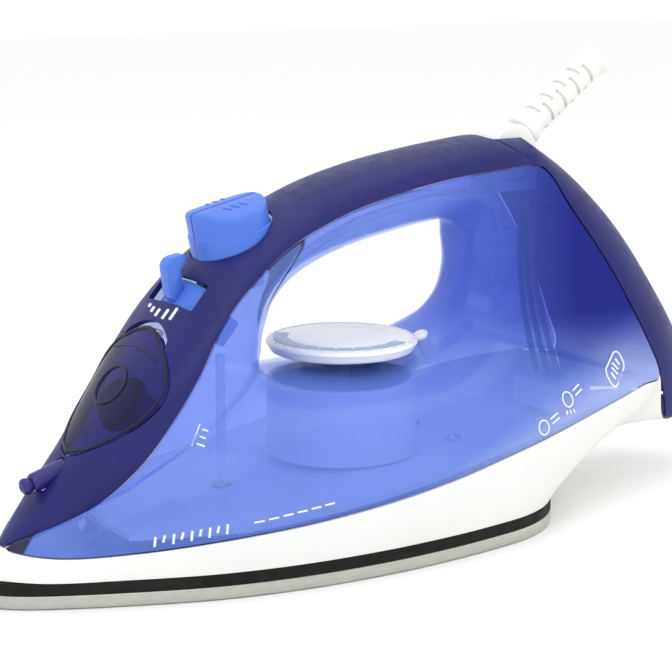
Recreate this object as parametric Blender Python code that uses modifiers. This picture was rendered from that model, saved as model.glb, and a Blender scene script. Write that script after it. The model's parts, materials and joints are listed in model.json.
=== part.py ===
"""Steam iron with a see-through water tank, as an assembly of separate pieces.

The design tables are in millimetres. s runs from the tip of the soleplate towards the heel,
y across the iron and z up from the ironing face. World +X points from the nose to the heel,
and the origin is under the middle of the iron, on the ironing face.
"""

import math

import bmesh
import bpy
import numpy as np
from mathutils import Matrix, Vector

MM = 0.001
LENGTH = 299.8
GAP = 0.3
SEAM = 0.38
SHELL = 2.0
SKIRT_SHELL = 2.2
DOOR_WALL = 1.8
STEPS = 2
TANK_ROWS = 6
COVER_ROWS = 6
SKIRT_ROWS = 5

# Ironing face: half outline of the soleplate from nose to heel, (s, y)
SOLE_OUTLINE = [
    (0.0, 0.0), (1.4, 5.0), (6.5, 12.0), (17.0, 19.3), (38.0, 30.0), (64.0, 41.0),
    (91.0, 48.0), (119.0, 51.6), (144.0, 52.2), (166.0, 50.9), (183.0, 48.4),
    (196.5, 42.2), (206.0, 32.5), (211.5, 20.0), (213.5, 9.0), (214.0, 0.0),
]
SHEET_THICKNESS = 1.2
SHEET_TOP = 4.2
CASTING_TOP = 12.0
SHIELD_BOTTOM = 4.5
SHIELD_TOP = 8.1
SKIRT_BOTTOM = 8.4

# Sections of the water tank around the handle opening. Each runs from the opening's rim on the
# centre plane (s0, z0) to the tank's seam (s1, z1, y1). rim and belly are the half widths of the
# two inner control points, and reach is how far the second stands back from the seam.
TANK_SECTIONS = [
    # s0, z0, rim, reach, belly, s1, z1, y1
    (142.0, 59.8, 42.0, 0.50, 51.5, 146.0, 28.2, 54.2),
    (126.0, 59.8, 42.0, 0.50, 51.0, 120.0, 24.6, 53.3),
    (113.0, 60.0, 41.5, 0.50, 48.5, 92.0, 21.6, 49.4),
    (106.0, 60.8, 41.0, 0.50, 45.0, 65.0, 19.2, 42.0),
    (103.0, 62.0, 40.0, 0.45, 42.0, 41.0, 17.0, 31.6),
    (101.3, 64.0, 38.5, 0.38, 38.5, 20.7, 15.6, 18.6),
    (100.4, 66.5, 37.0, 0.31, 35.5, 10.2, 16.8, 3.2),
    (100.0, 69.5, 35.0, 0.31, 34.0, 23.5, 24.0, 12.2),
    (99.8, 72.0, 33.0, 0.36, 33.0, 36.0, 31.0, 18.2),
    (100.0, 75.0, 30.0, 0.42, 32.0, 48.0, 41.3, 22.4),
    (100.6, 78.6, 26.0, 0.45, 30.0, 58.0, 54.0, 25.0),
    (102.4, 83.0, 22.0, 0.50, 28.0, 67.5, 68.3, 26.2),
    (106.0, 87.2, 17.5, 0.50, 25.5, 77.0, 83.0, 25.0),
    (112.0, 91.2, 14.5, 0.50, 22.5, 91.5, 95.7, 22.3),
    (121.5, 95.2, 12.5, 0.55, 20.0, 108.5, 105.7, 20.0),
    (136.0, 99.2, 11.5, 0.55, 19.2, 128.0, 113.0, 19.4),
    (152.0, 102.2, 11.5, 0.55, 18.9, 148.5, 117.7, 19.1),
    (168.0, 104.4, 11.5, 0.55, 18.9, 170.0, 121.0, 19.0),
    (180.0, 105.2, 12.5, 0.55, 18.9, 192.0, 122.6, 18.9),
    (185.0, 102.2, 15.5, 0.60, 18.3, 211.0, 122.6, 18.6),
    (185.8, 96.0, 18.0, 0.62, 18.2, 224.0, 107.0, 20.0),
    (186.0, 88.0, 19.0, 0.62, 19.4, 240.0, 85.0, 23.4),
    (183.2, 79.6, 20.5, 0.58, 25.0, 253.4, 61.0, 27.4),
    (178.0, 73.0, 24.0, 0.54, 36.0, 260.5, 44.0, 29.6),
    (173.0, 68.6, 29.0, 0.52, 44.5, 246.0, 43.2, 36.4),
    (168.0, 65.0, 35.0, 0.50, 48.5, 220.0, 40.4, 44.6),
    (162.0, 62.2, 39.0, 0.50, 51.0, 190.0, 35.6, 50.6),
    (154.0, 60.4, 41.5, 0.50, 52.0, 168.0, 32.0, 53.2),
]
NOSE_SECTION = 6
CORNER_SECTION = 19
HEEL_SECTION = 23

# Crown of the navy covers on the centre plane, one point for each tank section it meets, (s, z)
COVER_CROWN = [
    (9.7, 16.9), (15.8, 23.6), (25.0, 34.0), (35.2, 44.8), (45.2, 57.6), (56.6, 71.4),
    (68.6, 84.8), (81.0, 98.8), (99.7, 110.6), (122.7, 120.9), (145.8, 127.0), (169.4, 130.6),
    (188.0, 132.7),
]
REAR_CROWN = [(209.4, 133.2), (233.0, 118.5), (255.6, 97.4), (277.6, 68.0), (288.6, 50.6)]
SADDLE_SEAM = 208.5
SADDLE_TOP = (196.0, 133.3)
REAR_FOOT = [((263.2, 35.0, 29.4), (294.9, 37.5)), ((264.8, 26.9, 28.8), (299.8, 24.8))]
CROWN_FULLNESS = 0.62

# Skirt sections below the tank: foot (s, y) on the outline, and two control points (s, z, y)
SKIRT_SECTIONS = {
    6: ((0.8, 2.6), (3.5, 11.5, 3.0), (9.0, 15.5, 3.6)),
    5: ((16.0, 18.6), (17.0, 10.8, 18.9), (19.4, 13.2, 18.7)),
    4: ((38.0, 29.8), (38.5, 11.5, 30.6), (40.2, 14.2, 31.6)),
    3: ((64.0, 40.8), (64.3, 12.0, 41.4), (64.8, 15.7, 42.0)),
    2: ((91.0, 47.8), (91.3, 13.0, 48.6), (91.8, 17.5, 49.3)),
    1: ((119.0, 51.3), (119.3, 14.0, 52.4), (119.8, 19.5, 53.3)),
    0: ((144.0, 51.9), (144.6, 16.0, 53.4), (145.6, 22.5, 54.4)),
    27: ((164.0, 50.8), (165.0, 17.0, 52.4), (167.4, 25.0, 53.7)),
    26: ((182.0, 48.3), (183.5, 17.5, 50.2), (188.8, 27.0, 51.2)),
    25: ((196.0, 42.2), (201.0, 17.5, 43.8), (217.0, 27.5, 45.0)),
    24: ((206.0, 32.2), (214.0, 21.5, 33.5), (242.0, 28.0, 37.3)),
    23: ((211.0, 21.5), (222.0, 23.0, 23.5), (258.0, 27.5, 30.4)),
}
SKIRT_BACK = [
    ((212.8, 14.0), (225.0, 22.5, 16.0), (250.0, 27.0, 25.5), (264.4, 26.5, 28.6)),
    ((213.7, 7.5), (227.0, 22.5, 9.0), (262.0, 26.5, 16.0), (288.0, 25.0, 16.0)),
    ((214.0, 0.0), (228.0, 22.5, 0.0), (268.0, 25.0, 0.0), (299.6, 24.2, 0.0)),
]

# Inner deck of the tank
FLOOR_LIFT = 1.5
FLOOR_LOW = 21.6
FLOOR_TOP = 27.5
FLOOR_INSET = 5.0
FLOOR_ROWS = 9

# Screws that hold the deck to the casting: name, s, y and the deck's height there
DECK_SCREWS = [("front", 120.0, 0.0, 26.2), ("left", 178.0, -12.0, 27.6), ("right", 178.0, 12.0, 27.6)]

# Temperature dial and drip valve
DIAL_S = 138.5
SEAT_S = 90.0
LENS_AT = (168.5, -4.5, 65.2)
LENS_AXIS = (-0.50, 0.0, 0.87)

# Buttons: crown of the top face, and its own axes
BUTTON_TOP = (92.4, 0, 117.4)
BUTTON_ALONG = (0.978, 0, 0.208)
BUTTON_NORMAL = (-0.208, 0, 0.978)
BUTTON_LENGTH = 13.8
BUTTON_WIDTH = 14.2
BUTTON_DROP = 3.0

# Steam lever: middle of its slot, and its swing axis below
LEVER_ON = (73.7, 0.0, 90.8)
LEVER_ALONG = (0.6606, 0.0, 0.7507)
LEVER_NORMAL = (-0.7507, 0.0, 0.6606)
LEVER_AXIS_AT = (91.34, 0.0, 75.28)
LEVER_RADIUS = 22.4

# Fill door: outline of (t, y) up the nose's slope, its hinge pin and the plug below it
DOOR_ON = (48.0, 0.0, 60.0)
DOOR_ALONG = (0.6, 0.0, 0.8)
DOOR_NORMAL = (-0.8, 0.0, 0.6)
DOOR_HALF = [
    (25.8, 0.0), (24.6, 5.5), (22.0, 10.5), (16.5, 17.8), (11.3, 21.3), (6.5, 22.2), (1.0, 21.4),
    (-6.1, 18.8), (-13.9, 13.6), (-20.8, 6.2), (-23.0, 0.0),
]
HINGE_AT = (65.4, 0.0, 78.2)
PLUG_AT = (48.0, 0.0, 60.0)
NOZZLE_AT = (26.0, 0.0, 36.2)
NOZZLE_AXIS = (-0.96, 0.0, -0.28)

# Cord outlet
BARREL_AT = (208.0, 0.0, 126.9)
GUARD_AXIS = (0.816, 0.0, 0.578)


def at(s, y, z):
    """World position in metres of a design point in millimetres."""
    return Vector(((s - LENGTH / 2) * MM, y * MM, z * MM))


def run(values, steps, closed=False):
    """Points on a smooth curve through the given rows, steps to each stretch."""
    rows = np.array(values, float)
    count = len(rows)
    found = []
    for i in range(count if closed else count - 1):
        if closed:
            a, b, c, d = (rows[(i + k) % count] for k in (-1, 0, 1, 2))
        else:
            b, c = rows[i], rows[i + 1]
            a = rows[i - 1] if i else 2 * b - c
            d = rows[i + 2] if i + 2 < count else 2 * c - b
        for k in range(steps):
            t = k / steps
            found.append(
                b + 0.5 * t * (c - a + t * (2 * a - 5 * b + 4 * c - d + t * (3 * (b - c) + d - a)))
            )
    if not closed:
        found.append(rows[-1])
    return np.array(found)


def bezier(a, b, c, d, count=24):
    """Points along one cubic curve."""
    t = np.linspace(0, 1, count + 1)[:, None]
    a, b, c, d = (np.array(p, float) for p in (a, b, c, d))
    return (1 - t) ** 3 * a + 3 * (1 - t) ** 2 * t * b + 3 * (1 - t) * t**2 * c + t**3 * d


def resample(line, count, start=0.0, end=0.0):
    """The line cut back by start and end millimetres and divided evenly."""
    steps = np.linalg.norm(np.diff(line, axis=0), axis=1)
    along = np.concatenate([[0], np.cumsum(steps)])
    spots = np.linspace(start, along[-1] - end, count + 1)
    return np.stack([np.interp(spots, along, line[:, k]) for k in range(3)], 1)


def tank_half(section):
    """Near half of a tank section, from the opening's rim to the seam, as (s, y, z)."""
    s0, z0, rim, reach, belly, s1, z1, y1 = section
    inner = (s1 + (s0 - s1) * reach, belly, z1 + (z0 - z1) * reach)
    return bezier((s0, 0, z0), (s0, rim, z0), inner, (s1, y1, z1))


def cover_half(section, crown):
    """Near half of a cover section, from the tank's seam to the crown, in line with the tank."""
    s0, z0, rim, reach, belly, s1, z1, y1 = section
    top_s, top_z = crown
    back = math.hypot(s0 - s1, z0 - z1) * reach
    height = math.hypot(top_s - s1, top_z - z1)
    widening = (y1 - belly) / back * height / 2
    shoulder = ((s1 + top_s) / 2, y1 + widening, (z1 + top_z) / 2)
    return bezier((s1, y1, z1), shoulder, (top_s, y1 * CROWN_FULLNESS, top_z), (top_s, 0, top_z))


def mirrored(half):
    """A whole section from its far side to its near side, from a half that starts on the centre plane."""
    other = half[::-1].copy()
    other[:, 1] *= -1
    return np.concatenate([other[:-1], half])


# ---------------------------------------------------------------- Blender helpers


def clear_scene():
    for item in list(bpy.data.objects):
        bpy.data.objects.remove(item, do_unlink=True)
    for group in list(bpy.data.collections):
        bpy.data.collections.remove(group)


def new_collection(name):
    group = bpy.data.collections.new(name)
    bpy.context.scene.collection.children.link(group)
    return group


def material(name, colour, roughness, metallic=0.0, alpha=1.0):
    found = bpy.data.materials.get(name)
    if found:
        return found
    found = bpy.data.materials.new(name)
    found.use_nodes = True
    shader = found.node_tree.nodes["Principled BSDF"]
    shader.inputs["Base Color"].default_value = (*colour, 1)
    shader.inputs["Roughness"].default_value = roughness
    shader.inputs["Metallic"].default_value = metallic
    shader.inputs["Alpha"].default_value = alpha
    return found


def add(name, mesh, look, smooth=40):
    item = bpy.data.objects.new(name, mesh)
    PARTS.objects.link(item)
    mesh.materials.append(look)
    if smooth:
        mesh.shade_smooth()
        mesh.set_sharp_from_angle(angle=math.radians(smooth))
    return item


def mesh_from(name, points, faces):
    mesh = bpy.data.meshes.new(name)
    mesh.from_pydata([at(*p) for p in points], [], faces)
    mesh.update()
    return mesh


def grid_normals(rows, closed=False):
    """Outward unit vector at each point of a grid of rows."""
    if closed:
        down = np.roll(rows, -1, 0) - np.roll(rows, 1, 0)
    else:
        down = np.gradient(rows, axis=0)
    found = np.cross(np.gradient(rows, axis=1), down)
    return found / np.maximum(np.linalg.norm(found, axis=2), 1e-9)[:, :, None]


def unit(vectors):
    return vectors / np.linalg.norm(vectors, axis=-1)[..., None]


def wall_mesh(name, rows, outward, thickness, closed=False):
    """A wall of even thickness under a grid of rows, with its rims filled in."""
    count, width = rows.shape[:2]
    size = count * width
    depth = np.broadcast_to(thickness, (count,))[:, None, None]
    points = np.concatenate([rows.reshape(-1, 3), (rows - outward * depth).reshape(-1, 3)])
    faces = []
    for i in range(count if closed else count - 1):
        j = (i + 1) % count
        for k in range(width - 1):
            quad = (i * width + k, i * width + k + 1, j * width + k + 1, j * width + k)
            faces.append(quad)
            faces.append(tuple(v + size for v in reversed(quad)))
        for k, a, b in ((0, j, i), (width - 1, i, j)):
            a, b = a * width + k, b * width + k
            faces.append((a, a + size, b + size, b))
    if not closed:
        for k in range(width - 1):
            last = size - width + k
            faces.append((k + 1, k, k + size, k + 1 + size))
            faces.append((last, last + 1, last + 1 + size, last + size))
    return mesh_from(name, points, faces)


def cut(item, *cutters):
    for k, cutter in enumerate(cutters):
        step = item.modifiers.new(f"cut_{k}", "BOOLEAN")
        step.operation = "DIFFERENCE"
        step.object = cutter


def cutter_from(item):
    """Turns a model object into a guide that only cuts."""
    for group in list(item.users_collection):
        group.objects.unlink(item)
    CUTTERS.objects.link(item)
    item.hide_render = True
    item.display_type = "WIRE"
    return item


def stack_mesh(name, loops):
    """A closed solid from equal loops of points, capped at the first and the last."""
    loops = np.array(loops)
    count, width = loops.shape[:2]
    faces = [tuple(range(width))[::-1], tuple((count - 1) * width + k for k in range(width))]
    for i in range(count - 1):
        for k in range(width):
            n = (k + 1) % width
            faces.append((i * width + k, i * width + n, (i + 1) * width + n, (i + 1) * width + k))
    return mesh_from(name, loops.reshape(-1, 3), faces)


def sole_loop(inset, z, count=34):
    """The soleplate's outline as a closed loop, drawn in by inset, at height z."""
    half = run(SOLE_OUTLINE, 6)
    along = np.gradient(half, axis=0)
    along[0], along[-1] = (0, 1), (0, -1)
    along = unit(along)
    moved = half + np.stack([along[:, 1], -along[:, 0]], 1) * inset
    first = next(k for k in range(len(moved)) if np.all(moved[k + 1:-1, 1] > 0.05))
    if first:
        t = moved[first, 1] / (moved[first, 1] - moved[first + 1, 1])
        tip = moved[first] + t * (moved[first + 1] - moved[first])
        moved = np.concatenate([[tip], moved[first + 1:]])
    moved = np.concatenate([moved, np.full((len(moved), 1), z)], 1)
    moved[0, 1] = moved[-1, 1] = 0
    moved = resample(moved, count)
    return np.concatenate([moved, moved[-2:0:-1] * (1, -1, 1)])[::-1]


def turned(name, profile, base, axis, look, steps=20, smooth=40):
    """A turned piece: profile of (radius, height) from top to bottom, standing on base along axis."""
    mesh = bpy.data.meshes.new(name)
    closed = profile[0] == profile[-1]
    rings = profile[:-1] if closed else profile
    edges = [(k, k + 1) for k in range(len(rings) - 1)]
    if closed:
        edges.append((len(rings) - 1, 0))
    mesh.from_pydata([(r * MM, 0, h * MM) for r, h in rings], edges, [])
    item = add(name, mesh, look, 0)
    spin = item.modifiers.new("turn", "SCREW")
    spin.steps = steps
    spin.render_steps = steps
    spin.use_merge_vertices = True
    spin.merge_threshold = 0.00001
    item.matrix_world = placed(base, axis)
    return item


def placed(base, axis):
    """Matrix that stands local +Z along the axis at the base, with local X kept in the centre plane."""
    up = Vector(axis).normalized()
    side = Vector((0, 1, 0)) if abs(up.y) < 0.9 else Vector((1, 0, 0))
    front = side.cross(up).normalized()
    side = up.cross(front)
    turn = Matrix((front, side, up)).transposed().to_4x4()
    return Matrix.Translation(at(*base)) @ turn


def tube(name, points, radius, look, resolution=2, cyclic=False):
    """A round tube along points of (s, y, z)."""
    curve = bpy.data.curves.new(name, "CURVE")
    curve.dimensions = "3D"
    curve.bevel_depth = radius * MM
    curve.bevel_resolution = resolution
    curve.use_fill_caps = True
    line = curve.splines.new("POLY")
    line.points.add(len(points) - 1)
    for spot, p in zip(line.points, points):
        spot.co = (*at(*p), 1)
    line.use_cyclic_u = cyclic
    curve.materials.append(look)
    item = bpy.data.objects.new(name, curve)
    PARTS.objects.link(item)
    return item


def box(name, low, high, look, bevel=0.0):
    """A block between two corners, with rounded edges if bevel is given."""
    mesh = bpy.data.meshes.new(name)
    form = bmesh.new()
    bmesh.ops.create_cube(form, size=1)
    size = [(b - a) * MM for a, b in zip(low, high)]
    middle = [(a + b) / 2 for a, b in zip(low, high)]
    bmesh.ops.scale(form, vec=size, verts=form.verts)
    form.to_mesh(mesh)
    form.free()
    item = add(name, mesh, look, 0)
    item.location = at(*middle)
    if bevel:
        edge = item.modifiers.new("edge", "BEVEL")
        edge.width = bevel * MM
        edge.segments = 1
    return item


# ---------------------------------------------------------------- looks

SHELL_LOOKS = {
    "water_tank": "tank", "handle_cover": "navy", "rear_cover": "navy", "skirt": "white", "fill_door": "smoke",
}
PARTS = None
CUTTERS = None
LOOK = None


def looks():
    return {
        "white": material("white_plastic", (0.80, 0.80, 0.77), 0.35),
        "navy": material("navy_plastic", (0.025, 0.025, 0.14), 0.35),
        "tank": material("blue_tank", (0.08, 0.14, 0.75), 0.06, alpha=0.45),
        "black": material("black_plastic", (0.02, 0.018, 0.016), 0.5),
        "sole": material("coated_sheet", (0.45, 0.45, 0.40), 0.3, 0.6),
        "alloy": material("cast_alloy", (0.6, 0.6, 0.6), 0.5, 1.0),
        "steel": material("steel", (0.62, 0.62, 0.62), 0.3, 1.0),
        "peri": material("periwinkle_plastic", (0.30, 0.42, 0.90), 0.35),
        "smoke": material("smoke_clear", (0.10, 0.08, 0.25), 0.08, alpha=0.5),
        "rubber": material("rubber", (0.05, 0.05, 0.06), 0.8),
        "ring": material("grey_blue_plastic", (0.33, 0.42, 0.58), 0.4),
        "violet": material("violet_plastic", (0.05, 0.03, 0.22), 0.3),
        "clear": material("clear_plastic", (0.75, 0.82, 0.90), 0.1, alpha=0.6),
        "brass": material("brass", (0.70, 0.52, 0.22), 0.35, 1.0),
        "ceramic": material("ceramic", (0.85, 0.82, 0.75), 0.6),
        "copper": material("lead_wire", (0.35, 0.12, 0.08), 0.6),
    }


# ---------------------------------------------------------------- soleplate


def make_soleplate(look):
    sheet = [sole_loop(0.9, 0.0), sole_loop(0.0, 0.9), sole_loop(0.0, SHEET_TOP),
             sole_loop(SHEET_THICKNESS, SHEET_TOP), sole_loop(SHEET_THICKNESS, SHEET_THICKNESS)]
    add("soleplate_sheet", stack_mesh("soleplate_sheet", sheet), look["sole"])
    low = SHEET_THICKNESS + GAP
    edge = SHEET_THICKNESS + 0.4
    casting = [sole_loop(edge, low), sole_loop(edge, SHEET_TOP), sole_loop(9.5, SHEET_TOP),
               sole_loop(10.0, CASTING_TOP)]
    add("soleplate_casting", stack_mesh("soleplate_casting", casting), look["alloy"])


def skirt_rows(ring):
    """Near side of the skirt, one row from foot to top for each step from nose to heel."""
    halves = []
    for key in SKIRT_SECTIONS:
        foot, low, high = SKIRT_SECTIONS[key]
        s1, z1, y1 = TANK_SECTIONS[key][5:]
        halves.append((*foot, SKIRT_BOTTOM, low[0], low[2], low[1], high[0], high[2], high[1], s1, y1, z1))
    for foot, low, high, top in SKIRT_BACK:
        halves.append((*foot, SKIRT_BOTTOM, low[0], low[2], low[1], high[0], high[2], high[1],
                       top[0], top[2], top[1]))
    halves = run(halves, STEPS)
    for k in range((len(SKIRT_SECTIONS) - 1) * STEPS + 1):
        halves[k][9:12] = ring[NOSE_SECTION * STEPS - k][[5, 7, 6]]
    return np.array([resample(bezier(p[0:3], p[3:6], p[6:9], p[9:12]), SKIRT_ROWS, 0, SEAM)
                     for p in halves])


def pinched(count, spots, wall, closed=False):
    """Wall thickness for each row of a shell, thinner at the rows where it comes to a corner."""
    reach = 7 * STEPS
    found = []
    for k in range(count):
        away = min(min(abs(k - m), count - abs(k - m) if closed else count) for m in spots)
        found.append(wall * min(0.2 + 0.8 * away / reach, 1.0))
    return np.array(found)


def shell_rows():
    """Rows, outward directions and wall of each shell: {name: (rows, outward, wall, closed)}."""
    ring = run(TANK_SECTIONS, STEPS, closed=True)
    nose, corner, heel = (n * STEPS for n in (NOSE_SECTION, CORNER_SECTION, HEEL_SECTION))
    trims = [SEAM * (2 if nose <= k <= nose + 3 * STEPS // 2 else 1) for k in range(len(ring))]
    tank = np.array([mirrored(resample(tank_half(p), TANK_ROWS, 0, t)) for p, t in zip(ring, trims)])
    front_sides = ring[nose:corner + 1].copy()
    front_sides[0] += 0.075 * STEPS * (ring[nose + 1] - ring[nose])
    front_sides[:, 5] = np.minimum(front_sides[:, 5], SADDLE_SEAM)
    front_crown = run(COVER_CROWN + [SADDLE_TOP], STEPS)
    cover = np.array([
        mirrored(resample(cover_half(p, c), COVER_ROWS, SEAM, 0)[::-1])[::-1]
        for p, c in zip(front_sides, front_crown)
    ])
    start = ring[corner].copy()
    start[5] = SADDLE_SEAM + 2 * SEAM
    last = ring[heel][:5]
    feet = run([(*ring[heel], *REAR_CROWN[-1])] + [(*last, *side, *c) for side, c in REAR_FOOT], STEPS)[1:]
    rear_sides = [start] + list(ring[corner:heel + 1]) + [p[:8] for p in feet]
    first_crown = (SADDLE_TOP[0] + 2 * SEAM, SADDLE_TOP[1])
    rear_crown = [first_crown] + list(run(REAR_CROWN, STEPS)) + [p[8:] for p in feet]
    rear = np.array([
        mirrored(resample(cover_half(p, c), COVER_ROWS, SEAM, 0)[::-1])[::-1]
        for p, c in zip(rear_sides, rear_crown)
    ])
    near = skirt_rows(ring)
    far = near[::-1][1:] * (1, -1, 1)
    skirt = np.concatenate([near, far])

    out_tank = grid_normals(tank, closed=True)
    out_cover = grid_normals(cover)
    out_rear = grid_normals(rear)
    out_skirt = grid_normals(skirt, closed=True)
    out_skirt[:, 0, 2] = 0
    out_skirt[:, 0] = unit(out_skirt[:, 0])
    count, half = len(ring), len(near)

    def share(first, i, k, second, j, m):
        middle = unit(first[i, k] + second[j, m])
        first[i, k] = middle
        second[j, m] = middle

    for k in range(1, len(cover)):
        share(out_cover, k, -1, out_tank, nose + k, 0)
        share(out_cover, k, 0, out_tank, nose + k, -1)
    for k in range(1, heel - corner + 2):
        share(out_rear, k, -1, out_tank, corner + k - 1, 0)
        share(out_rear, k, 0, out_tank, corner + k - 1, -1)
    out_cover[-1] = unit(out_cover[-1] + out_rear[0])
    out_rear[0] = out_cover[-1]
    for k in range(1, (len(SKIRT_SECTIONS) - 1) * STEPS + 1):
        share(out_skirt, k, -1, out_tank, (nose - k) % count, -1)
        share(out_skirt, len(skirt) - k, -1, out_tank, (nose - k) % count, 0)
    out_rear[-1, :, 2] = 0
    out_rear[-1] = unit(out_rear[-1])
    for k in range((len(SKIRT_SECTIONS) - 1) * STEPS + 1, 2 * half - 1 - (len(SKIRT_SECTIONS) - 1) * STEPS):
        out_skirt[k, -1, 2] = 0
        edge = out_skirt[k, -1] + out_skirt[k, 0] * 0.5
        edge[2] = 0
        out_skirt[k, -1] = unit(edge)
    forward = np.array((-1.0, 0.0, 0.0))
    out_tank[nose, 0] = out_tank[nose, -1] = forward
    out_cover[0] = forward
    out_skirt[0, -1] = out_skirt[-1, -1] = forward

    last = (len(SKIRT_SECTIONS) - 1) * STEPS
    walls = {
        "tank": pinched(count, (nose, corner, heel), SHELL, True),
        "cover": pinched(len(cover), (0, len(cover) - 1), SHELL),
        "rear": pinched(len(rear), (0, heel - corner + 1), SHELL),
        "skirt": pinched(len(skirt), (0, last, len(skirt) - last), SKIRT_SHELL, True),
    }

    return {
        "water_tank": (tank, out_tank, walls["tank"], True),
        "handle_cover": (cover, out_cover, walls["cover"], False),
        "rear_cover": (rear, out_rear, walls["rear"], False),
        "skirt": (skirt, out_skirt, walls["skirt"], True),
        "fill_door": (cover, out_cover, DOOR_WALL, False),
    }


def floor_rows():
    """Rows of the tank's inner deck, a shallow dish that rises towards the heel."""
    ring = run(TANK_SECTIONS, STEPS, closed=True)
    floor = []
    for key in range(4 * STEPS, -4 * STEPS - 1, -1):
        s1, z1, y1 = ring[key % len(ring)][5:]
        low = min(max(z1 + FLOOR_LIFT, FLOOR_LOW), FLOOR_TOP)
        rim = max(z1 + FLOOR_LIFT - low, 0)
        floor.append([(s1, -k * (y1 - FLOOR_INSET), low + rim * k**4) for k in np.linspace(-1, 1, FLOOR_ROWS)])
    return np.array(floor)


def make_shells(look):
    shells = {}
    for name, (rows, outward, wall, closed) in shell_rows().items():
        shells[name] = add(name, wall_mesh(name, rows, outward, wall, closed), look[SHELL_LOOKS[name]])
    floor = floor_rows()
    up = np.zeros_like(floor) + (0, 0, 1)
    shells["tank_floor"] = add("tank_floor", wall_mesh("tank_floor", floor, up, 2.0), look["white"])
    return shells


# ---------------------------------------------------------------- openings and fittings


def prism(name, outline, origin, along, across, low, high):
    """A guide solid: outline of (t, y) in the plane of along and y, from low to high on its normal."""
    origin, along = np.array(origin, float), unit(np.array(along, float))
    normal = unit(np.cross(along, (0, 1, 0))) * across
    loops = []
    for depth in (low, high):
        loops.append([origin + along * t + np.array((0, y, 0)) + normal * depth for t, y in outline])
    if across < 0:
        loops = loops[::-1]
    item = add(name, stack_mesh(name, loops), LOOK["white"], 0)
    return cutter_from(item)


def mirror_outline(half):
    """A whole outline from its y >= 0 half, listed from top to bottom."""
    return list(half) + [(t, -y) for t, y in half[::-1] if y > 0]


def rod(name, base, axis, radius, low, high, steps=24):
    """A guide cylinder for cutting a round hole."""
    item = turned(name, [(0, high), (radius, high), (radius, low), (0, low)], base, axis, LOOK["white"], steps)
    return cutter_from(item)


def block(name, low, high):
    """A guide block for cutting a slot."""
    return cutter_from(box(name, low, high, LOOK["white"]))


def join_cut(item, cutter, operation):
    step = item.modifiers.new("shape", "BOOLEAN")
    step.operation = operation
    step.object = cutter


def make_openings(shells):
    button = [
        ((BUTTON_LENGTH + 0.4) * math.cos(a), (BUTTON_WIDTH + 0.4) * math.sin(a))
        for a in np.linspace(0, 2 * math.pi, 28, endpoint=False)
    ]
    button_hole = prism("button_hole", button, BUTTON_TOP, BUTTON_ALONG, 1, -30, 4)
    slot = [(5.2, 13.8), (-5.2, 13.8), (-5.2, -13.8), (5.2, -13.8)]
    lever_slot = prism("lever_slot", slot, LEVER_ON, LEVER_ALONG, 1, -12, 6)
    wide = []
    for t, y in DOOR_HALF:
        shift = 0.0
        if t > 20:
            shift = 1.8
        elif t < -20:
            shift = -0.45
        wide.append((t + shift, y + 0.45 if y > 0 else y))
    door_hole = prism("door_hole", mirror_outline(wide), DOOR_ON, DOOR_ALONG, 1, -8.6, 14)
    door_shape = prism("door_shape", mirror_outline(DOOR_HALF), DOOR_ON, DOOR_ALONG, 1, -8.1, 13)
    join_cut(shells["fill_door"], door_shape, "INTERSECT")
    pin_groove = rod("pin_groove", HINGE_AT, (0, 1, 0), 1.35, -11, 11, 12)
    cut(shells["fill_door"], pin_groove)
    nozzle_hole = rod("nozzle_hole", NOZZLE_AT, NOZZLE_AXIS, 3.5, -7.5, 14)
    notch = block("cord_notch", (195.6, -8.2, 109.0), (221.0, 8.2, 150.0))
    cut(shells["handle_cover"], button_hole, lever_slot, door_hole, nozzle_hole, notch)
    cut(shells["rear_cover"], notch)
    shaft_hole = rod("shaft_hole", (DIAL_S, 0, 0), (0, 0, 1), 4.0, 20, 70, 20)
    lens_hole = rod("lens_hole", LENS_AT, LENS_AXIS, 3.4, -8, 8, 16)
    cut(shells["water_tank"], shaft_hole, lens_hole)
    seat_hole = rod("seat_hole", (SEAT_S, 0, 0), (0, 0, 1), 3.5, 15, 30, 16)
    bores = []
    for name, s, y, _ in DECK_SCREWS:
        bores.append(rod(f"{name}_deck_bore", (s, y, 0), (0, 0, 1), 1.8, 15, 32, 12))
    cut(shells["tank_floor"], shaft_hole, seat_hole, *bores)


def make_vents(look):
    vents = []
    for row, spread in ((26, 6), (34, 11), (43, 16), (53, 21), (64, 26), (78, 31), (94, 35), (112, 37)):
        vents += [(row, -spread), (row, spread)]
    vents += [(20, 0), (34, 0), (50, -5), (50, 5)]
    points, faces = [], []
    for s, y in vents:
        first = len(points)
        ring = [(s + 1.2 * math.cos(a), y + 1.2 * math.sin(a)) for a in np.linspace(0, 2 * math.pi, 8, False)]
        points += [(a, b, -1.0) for a, b in ring] + [(a, b, 9.0) for a, b in ring]
        faces.append(tuple(range(first, first + 8))[::-1])
        faces.append(tuple(range(first + 8, first + 16)))
        for k in range(8):
            n = (k + 1) % 8
            faces.append((first + k, first + n, first + 8 + n, first + 8 + k))
    guide = cutter_from(add("steam_vents", mesh_from("steam_vents", points, faces), look["white"], 0))
    cut(bpy.data.objects["soleplate_sheet"], guide)
    pocket = block("steam_chamber", (72.0, -11.0, 8.0), (108.0, 11.0, 14.0))
    cut(bpy.data.objects["soleplate_casting"], guide, pocket)


def closed_ring(name, loops, look):
    """A ring solid from equal closed loops joined round and back to the first."""
    loops = np.array(loops)
    count, width = loops.shape[:2]
    faces = []
    for i in range(count):
        j = (i + 1) % count
        for k in range(width):
            n = (k + 1) % width
            faces.append((i * width + k, i * width + n, j * width + n, j * width + k))
    return add(name, mesh_from(name, loops.reshape(-1, 3), faces), look)


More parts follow.
